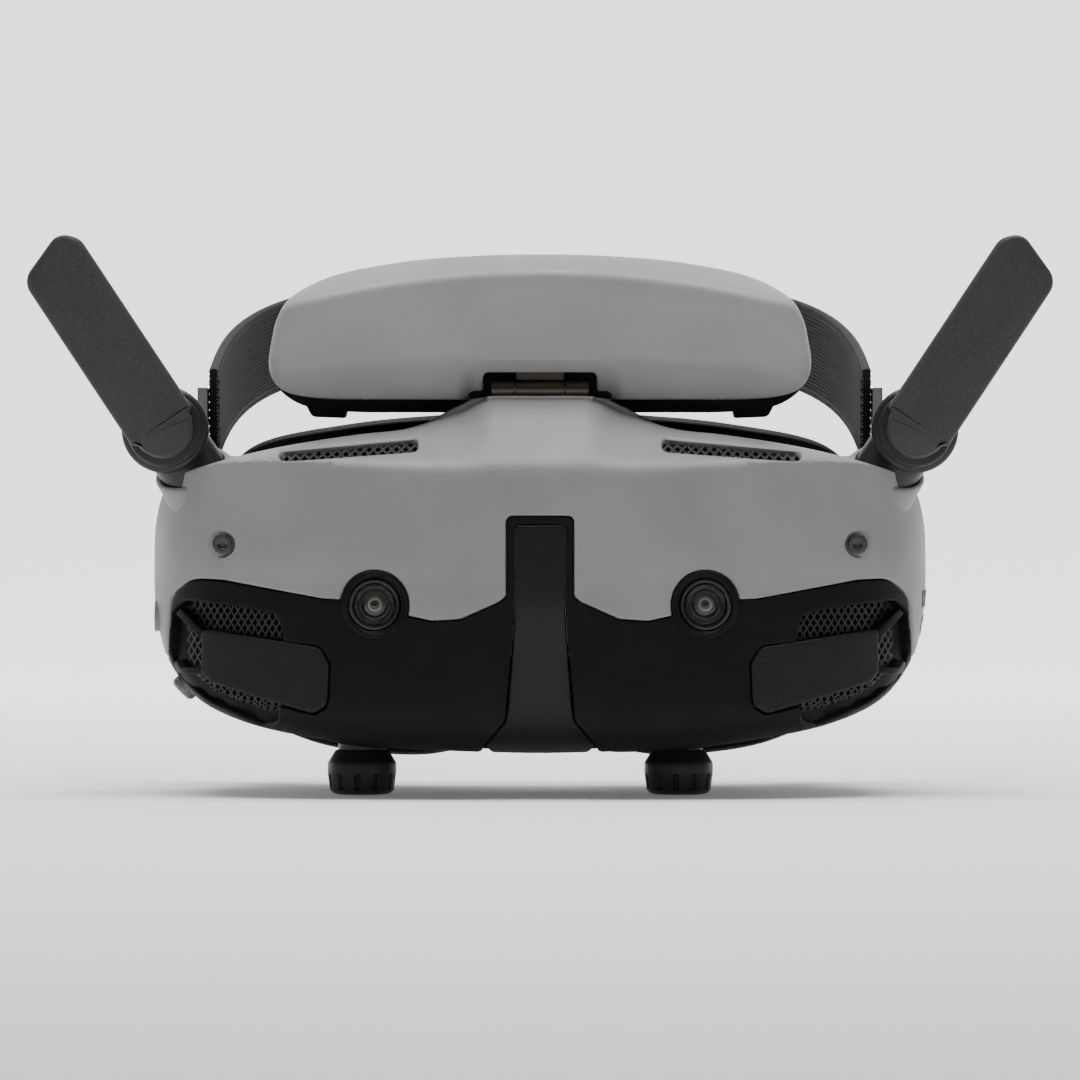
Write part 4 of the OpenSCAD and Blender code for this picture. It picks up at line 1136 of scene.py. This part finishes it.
def brow_pad_lists(n=34):
    """Forehead cushion: a crowned pad with a pinched seam near its edge."""
    loop = resample(rounded([(-53, 52.5, 6), (53, 52.5, 6), (50, 70.5, 9), (-50, 70.5, 9)], 6, 12), 2)
    middle = np.array([0, 61.5])
    rings = []
    for k in range(n):
        t = k / (n - 1)
        if t < 0.3:
            shrink, rise = 0.955 + 0.045 * math.sin(t / 0.3 * math.pi / 2), 9.5 * 0.5 * (t / 0.3)
        else:
            a = (t - 0.3) / 0.7
            shrink = max(0.004, 1 - a) ** 0.42
            rise = 9.5 * (0.5 + 0.5 * (1 - (1 - a) ** 1.6))
        seam = math.exp(-((t - 0.42) / 0.025) ** 2)
        q = (loop - middle) * shrink + middle
        bend = -0.0016 * q[:, 0] ** 2
        wave = 0.25 * np.sin(q[:, 0] * 0.35) * (1 - abs(2 * t - 1))
        y = 4.95 + (rise - 0.7 * seam) * (1 + 0.02 * bend) + wave * (t > 0.3) + 0.25 * bend * (rise / 9.5)
        rings.append(np.stack([q[:, 0], np.minimum(y, 16.4), q[:, 1]], 1))
    return loft_lists(rings, cap=True)


brow_pad = closed_piece("brow_cushion", brow_pad_lists(), FOAM, "compartment", "foam_fabric",
                        ["forehead_pad"])


# ---- antennas --------------------------------------------------------------------------------

BLADE = rounded([(-8.25, 0.9, 0.5), (-6.95, -0.1, 0.35), (-6.8, -1.4,
                                                          0.5)] + arc(0, 0, 6.75, 200, 340, 26)
                + [(6.8, -1.4, 0.5), (6.95, -0.1, 0.35), (8.25, 0.9, 0.5), (8.25, 46.4, 4.6),
                   (-4.6, 51.3, 5.6), (-8.25, 47.5, 4.2)], 0.3, 8)


def blade_lists(s):
    across, _, lean = antenna_frame(s)
    loop = resample(BLADE, 1.6)
    loop = loop if area(loop) > 0 else loop[::-1]
    normals = inward(loop)
    slant = 1 + 1.1 * smoothstep(-6.0, -8.1, loop[:, 0]) * smoothstep(1, 6, loop[:, 1])
    rings = []
    for y, inset, fixed in ((-41.5, 0.5, 1), (-41.7, 0.15, 1), (-42.1, 0, 1), (-43.3, 0, 1),
                            (-43.36, 0.22, 1), (-43.6, 0.22, 1), (-43.66, 0, 1), (-45.7, 0, 0),
                            (-46.1, 0.06, 0), (-46.45, 0.25, 0), (-46.7, 0.55, 0), (-46.8, 0.85, 0)):
        reach = np.full(len(loop), inset) if fixed else inset * slant
        q = loop + normals * reach[:, None]
        rings.append(np.array([s * PIVOT[0], 0, PIVOT[1]]) + q[:, :1] * across + q[:, 1:] * lean
                     + np.array([0, y, 0]))
    return loft_lists(rings, cap=True)


def antenna_base_lists(s):
    across, front, lean = antenna_frame(s)
    ring = soft_profile([(0, 41.2), (8.3, 41.2), (8.75, 40.8), (8.8, 40.1), (8.25, 39.8), (8.25, 39.3),
                         (9.5, 39.0), (10.1, 38.4), (10.1, 36.4), (9.2, 35.6), (8.9, 33), (8.9, 28.2),
                         (8.1, 27), (0, 27)], 0.18,
                        3)
    knuckle_part = lathe_lists(ring, 72, (s * PIVOT[0], 0, PIVOT[1]), "-y")
    frame = np.stack([across, front, lean], 1)
    neck = lathe_lists([(7.6, -22), (7.6, -4), (7.5, -1.5), (6.9, 0.8), (5.2, 2.6), (0, 3.4)], 64,
                       (s * PIVOT[0], -30.8, PIVOT[1]), frame)
    return join_lists([knuckle_part, neck])


for side, s in SIDES.items():
    closed_piece(f"antenna_paddle_{side}", blade_lists(s), ANTENNA, f"antenna_{side}",
                 "antenna_plastic", [f"antenna_blade_{side}"])
    closed_piece(f"antenna_neck_{side}", antenna_base_lists(s), NECK, "housing", "antenna_plastic",
                 [f"antenna_base_{side}"])


# ---- knobs and controls ----------------------------------------------------------------------

FLUTES = 11
KNOB_Y = -26
KNOB_AT_REST = {side: s * 37 - 4.6 for side, s in SIDES.items()}


def flute(a, h, r):
    """Depth of the grip flutes round a knob."""
    if r < 6.5 or not -43.5 < h < -39.7:
        return 0 * a
    pitch = 2 * math.pi / FLUTES
    off = np.abs((a - math.radians(264) + pitch / 2) % pitch - pitch / 2) * 7.6
    ends = min(1.0, (h + 43.5) / 0.5, (-39.7 - h) / 0.5)
    return 0.62 * ends * np.clip((0.62 - off) / 0.16, 0, 1)


for side, s in SIDES.items():
    rows = [(0, -31.6), (5.3, -31.6), (5.55, -31.9), (5.55, -34.1), (5.7, -34.2), (6.1, -34.25),
            (6.4, -34.6), (7.7, -36.7), (7.95, -37.1), (8.03, -37.5), (8.03, -39.2), (8.0, -39.6)]
    rows += [(8.0 - 0.5 * (h - 39.7) / 3.8, -h) for h in np.arange(39.7, 43.55, 0.2)]
    rows += [(7.3, -43.7), (6.9, -44.15), (6.4, -44.4), (5.9, -44.55), (5.2, -44.6), (5.0, -44.35),
             (0, -44.3)]
    grip = lathe_lists(rows, 220, (KNOB_AT_REST[side], KNOB_Y, 0), "z", dent=flute)
    closed_piece(f"knob_{side}_grip", grip, KNOB, f"knob_{side}", "knob_plastic", [f"knob_{side}"])

# Slot in the housing's floor for each knob: radius, and travel to each side of rest
SLOT_R, SLOT_INWARD, SLOT_OUTWARD = 7.2, 8.6, 0.6
OUTLINE_LOW = FACE[FACE[:, 1] < -10]
OUTLINE_LOW = OUTLINE_LOW[np.argsort(OUTLINE_LOW[:, 0])]


def underside(x, _):
    """Height of the housing's bottom wall, the same at every depth."""
    return np.interp(x, OUTLINE_LOW[:, 0], OUTLINE_LOW[:, 1]) - 0.03


for side, s in SIDES.items():
    inner_end, outer_end = KNOB_AT_REST[side] - s * SLOT_INWARD, KNOB_AT_REST[side] + s * SLOT_OUTWARD
    left_end, right_end = sorted((inner_end, outer_end))
    mouth = np.array(arc(right_end, KNOB_Y, SLOT_R, -90, 90, 14)
                     + arc(left_end, KNOB_Y, SLOT_R, 90, 270, 14))
    verts, faces = panel_lists(mouth, underside, bevel=0.15, wall=0.5, spacing=2.5)
    verts = [(v[0], v[2], v[1]) for v in verts]
    sheet_piece(f"knob_mouth_{side}", flip((verts, faces)), DEEP_BLACK, "housing", "dark_plastic")

STICK_AT = (-82.3, -20, -18.8)
STICK_TURN = math.radians(225)
stick = np.array([math.sin(STICK_TURN), 0, math.cos(STICK_TURN)])
stick_side = np.array([math.cos(STICK_TURN), 0, -math.sin(STICK_TURN)])
stick_frame = np.stack([stick_side, np.array([0, 1.0, 0]), stick], 1)


def ridges(a, h, r):
    """Fine grip ridges round the stick cap."""
    return 0.1 * (1 + np.cos(24 * a)) / 2 if 2.6 < r < 3.4 and 0.7 < h < 1.9 else 0 * a


cap = soft_profile([(0, 0.6), (3.0, 0.6), (3.2, 0.8), (3.2, 1.1), (3.2, 1.4), (3.2, 1.8), (3.1, 2.2),
                    (2.4, 2.8), (1.9, 2.85), (1.2, 2.6), (0, 2.5)], 0.1, 2)
closed_piece("stick_cap", lathe_lists(cap, 120, STICK_AT, stick_frame, dent=ridges), HOOK,
             "joystick_cap", "button_grey", ["joystick_cap"])


def side_x(y, z):
    """Half width of the housing's outer surface at a depth and height."""
    low, high = np.full(np.shape(y), 60.0), np.full(np.shape(y), 91.2)
    for _ in range(30):
        mid = (low + high) / 2
        out = front_y(mid, z) > y
        low, high = np.where(out, low, mid), np.where(out, mid, high)
    return (low + high) / 2


def side_plate(name, y0, y1, z0, z1, r, lift, bevel, material, slot_name, hole=None):
    """Small plate on the left side wall. The outline runs in depth and height."""
    loop = rounded([(y0, z0), (y1, z0), (y1, z1), (y0, z1)], r)
    holes = [rounded([(y0 + hole, z0 + hole), (y1 - hole, z0 + hole), (y1 - hole, z1 - hole),
                      (y0 + hole, z1 - hole)],
                     max(0.2, r - hole))] if hole else []
    verts, faces = panel_lists(loop, lambda y, z: -(side_x(y, z) + lift), holes=holes, bevel=bevel,
                               wall=0.9, spacing=0.9, step=0.6)
    verts = [(-v[1], v[0], v[2]) for v in verts]
    return closed_piece(name, (verts, faces), material, "housing", slot_name)


side_plate("usb_bezel", -22.6, -12, -7.6, -2.8, 2.2, 0.05, 0.12, BLACK, "dark_plastic", hole=0.75)
side_plate("usb_mouth", -21.9, -12.7, -6.9, -3.5, 1.5, 0.0, 0.1, DEEP_BLACK, "dark_plastic")
side_plate("usb_tongue", -20.4, -14.2, -5.6, -4.8, 0.3, 0.04, 0.1, STEEL, "steel")
side_plate("card_bezel", -23.4, -9.6, -0.9, 3.1, 0.9, 0.05, 0.12, BLACK, "dark_plastic", hole=0.7)
side_plate("card_mouth", -22.8, -10.2, -0.3, 2.5, 0.4, 0.0, 0.1, DEEP_BLACK, "dark_plastic")


button = soft_profile([(0, 57), (3.6, 57), (3.6, 62.1), (2.9, 62.3), (2.6, 62.15), (0, 62.1)], 0.25, 3)
closed_piece("power_button_cap", lathe_lists(button, 64, (0, -8, 62), "x"), BLACK, "power_button",
             "black_plastic", ["power_button"])

# ---- head strap ------------------------------------------------------------------------------

STRAP_TURN = np.array(Matrix.Rotation(math.radians(9), 3, "X"))
STRAP_AT = np.array([0, 6.0, 44.2])


def power_curve(v, p=3.0):
    """Superellipse value of a cosine or sine."""
    return np.sign(v) * np.abs(v) ** (2 / p)


def strap_path(n):
    """Evenly spaced points, tangents and outward normals of the band's centre line."""
    a = np.linspace(0, math.pi, 3000)
    p = np.stack([77.8 * power_curve(np.cos(a)), 182 * power_curve(np.sin(a))], 1)
    length = np.concatenate([[0], np.cumsum(np.linalg.norm(np.diff(p, axis=0), axis=1))])
    at = np.linspace(0, length[-1], n)
    q = np.stack([np.interp(at, length, p[:, 0]), np.interp(at, length, p[:, 1])], 1)
    t = np.gradient(q, axis=0)
    t /= np.linalg.norm(t, axis=1, keepdims=True)
    return q, t, np.stack([t[:, 1], -t[:, 0]], 1), length[-1]


def strap_lists():
    path, _, normal, _ = strap_path(230)
    half, ribs = 11.5, 20
    z = np.linspace(-half, half, 129)
    inner = np.abs(z) < 9.5
    rib = np.where(inner, 0.2 * np.cos((z + 9.5) / 19 * ribs * 2 * math.pi) - 0.2, -0.05)
    rib = np.where(np.abs(np.abs(z) - 10.4) < 0.35, -0.16, rib)
    thick = 1.1 + rib - 0.7 * np.clip((np.abs(z) - 11.0) / 0.5, 0, 1) ** 2
    section = np.concatenate([np.stack([thick, z], 1), np.stack([-thick, z], 1)[::-1]])
    rings = []
    for p, n in zip(path, normal):
        flat = np.stack([p[0] + n[0] * section[:, 0], p[1] + n[1] * section[:, 0], section[:, 1]], 1)
        rings.append(flat @ STRAP_TURN.T + STRAP_AT)
    return loft_lists(rings, cap=True)


def stitch_lists():
    """Short raised threads along both borders and across both sewn ends."""
    _, _, _, total = strap_path(10)
    count = int(total / 2.7)
    path, tangent, normal, _ = strap_path(count)
    spots = []
    for i in range(1, count - 1):
        for face in (-1, 1):
            for z in (-10.4, 10.4):
                spots.append((path[i], tangent[i], normal[i], face, z, False))
    for i in (1, 2, count - 3, count - 2):
        for face in (-1, 1):
            for z in np.arange(-9.2, 9.3, 1.9):
                spots.append((path[i], tangent[i], normal[i], face, z, True))
    a = np.arange(6) * math.pi / 3
    verts, faces = [], []
    for p, t, n, face, z, crosswise in spots:
        rings = []
        for along, r in ((-0.85, 0.05), (-0.6, 0.17), (0, 0.22), (0.6, 0.17), (0.85, 0.05)):
            up = 1.0 + (0.05 if crosswise else 0.0) + r * np.sin(a) * 0.8
            wide = r * np.cos(a)
            if crosswise:
                xy = p[None] + t[None] * wide[:, None] + n[None] * (face * up)[:, None]
                h = np.full(6, z + along)
            else:
                xy = p[None] + t[None] * along + n[None] * (face * up)[:, None]
                h = z + wide
            rings.append(np.concatenate([xy, h[:, None]], 1) @ STRAP_TURN.T + STRAP_AT)
        v, f = loft_lists(rings, cap=True)
        base = len(verts)
        verts += v
        faces += [tuple(i + base for i in face_) for face_ in f]
    return verts, faces


closed_piece("strap_band", strap_lists(), STRAP, "housing", "strap_fabric", ["head_strap"])
closed_piece("strap_stitches", stitch_lists(), THREAD, "housing", "strap_fabric")


# ---- carried-over CAD parts ------------------------------------------------------------------

CARRIED = {
    GREY: ["back_button"],
    BLACK: ["strap_buckle"],
    DEEP_BLACK: ["eyepiece_plate", "camera_modules", "carriage_left", "carriage_right",
                 "focus_barrel_left",
                 "focus_barrel_right", "fan_housing_left", "fan_housing_right", "fan_rotor_left",
                 "fan_rotor_right",
                 "knob_stem_left", "knob_stem_right", "joystick_gimbal", "joystick_stem"],
    HOOK: ["strap_hooks"],
    STEEL: ["guide_rods", "antenna_pin_left", "antenna_pin_right", "usb_socket", "card_slot",
            "hinge_pin"],
    BOARD: ["main_board", "battery_board"],
    FINS: ["heat_sink"],
    SCREEN: ["display_left", "display_right"],
    EYE_LENS: ["eyepiece_lens_left", "eyepiece_lens_right"],
    WRAP: ["battery_cells"],
}
for material, names in CARRIED.items():
    for node_name in names:
        node = frame["nodes"][node_name]
        node.data.materials.clear()
        node.data.materials.append(material)
for node_name, size in (("strap_buckle", 0.5), ("strap_hooks", 0.35), ("back_button", 0.3),
                        ("focus_barrel_left", 0.3), ("focus_barrel_right", 0.3),
                        ("eyepiece_plate", 0.25)):
    bevel = frame["nodes"][node_name].modifiers.new("softened_edges", "BEVEL")
    bevel.width, bevel.segments = size * MM, 3
    bevel.limit_method, bevel.angle_limit = "ANGLE", math.radians(40)
    bevel.harden_normals = True


# ---- camera, floor and light ---------------------------------------------------------------

def set_stage():
    camera_data = bpy.data.cameras.new("photo_camera")
    camera = bpy.data.objects.new("photo_camera", camera_data)
    bpy.context.scene.collection.objects.link(camera)
    antenna_plane_y, distance_m, width_m = -0.044, 1.6, 0.24965
    camera_data.sensor_width = 36
    camera_data.lens = 36 * distance_m / width_m
    camera_data.clip_start = 0.01
    camera.location = (0, antenna_plane_y - distance_m, 0.0148)
    camera.rotation_euler = (math.pi / 2, 0, 0)
    bpy.context.scene.camera = camera

    # A pale floor that sweeps up into a backdrop
    rest_z = min(CAD_BOX[0][2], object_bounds()[0][2]) - 0.0002
    bend, back, front, half = 0.9, 2.6, -3.2, 4.0
    rows = [(front, rest_z), (back - bend, rest_z)]
    rows += [(back - bend + bend * math.sin(a), rest_z + bend * (1 - math.cos(a)))
             for a in np.linspace(0.1, math.pi / 2, 14)]
    rows.append((back, rest_z + 3.5))
    verts = [(x / MM, y / MM, z / MM) for y, z in rows for x in (-half, half)]
    faces = [(2 * i, 2 * i + 1, 2 * i + 3, 2 * i + 2) for i in range(len(rows) - 1)]
    floor = make_object("studio_floor", verts, faces)
    s = Shader("floor_white", 0.9)
    s.bsdf.inputs["Specular IOR Level"].default_value = 0.0
    s.bsdf.inputs["Emission Color"].default_value = (1, 1, 1, 1)
    split = s.tree.nodes.new("ShaderNodeSeparateXYZ")
    s.link(s.coords, split.inputs["Vector"])
    glow = s.remap(split.outputs["Y"], 0.05, 1.0, 0.12, 1.5)
    s.link(glow, s.bsdf.inputs["Emission Strength"])
    floor.data.materials.append(s.done(s.mix(s.noise(60, 2), tone(250), tone(252))))

    world = bpy.data.worlds.new("studio_world")
    world.use_nodes = True
    world.node_tree.nodes["Background"].inputs["Color"].default_value = (1, 1, 1, 1)
    world.node_tree.nodes["Background"].inputs["Strength"].default_value = 0.06
    bpy.context.scene.world = world

    def lamp(name, place, aim, size, watts):
        data = bpy.data.lights.new(name, "AREA")
        data.shape = "RECTANGLE"
        data.size, data.size_y = size
        data.energy = watts
        obj = bpy.data.objects.new(name, data)
        obj.location = place
        obj.rotation_euler = (Vector(aim) - Vector(place)).to_track_quat("-Z", "Y").to_euler()
        bpy.context.scene.collection.objects.link(obj)

    lamp("top_softbox", (0, -0.12, 1.2), (0, 0, 0.02), (1.1, 0.8), 24)
    lamp("front_softbox", (0.0, -1.3, 1.0), (0, 0, 0.02), (1.0, 0.5), 0.5)
    lamp("left_softbox", (-1.2, -0.3, 0.5), (0, 0, 0.02), (0.4, 0.9), 0.8)
    lamp("right_softbox", (1.2, -0.3, 0.5), (0, 0, 0.02), (0.4, 0.9), 0.8)


set_stage()
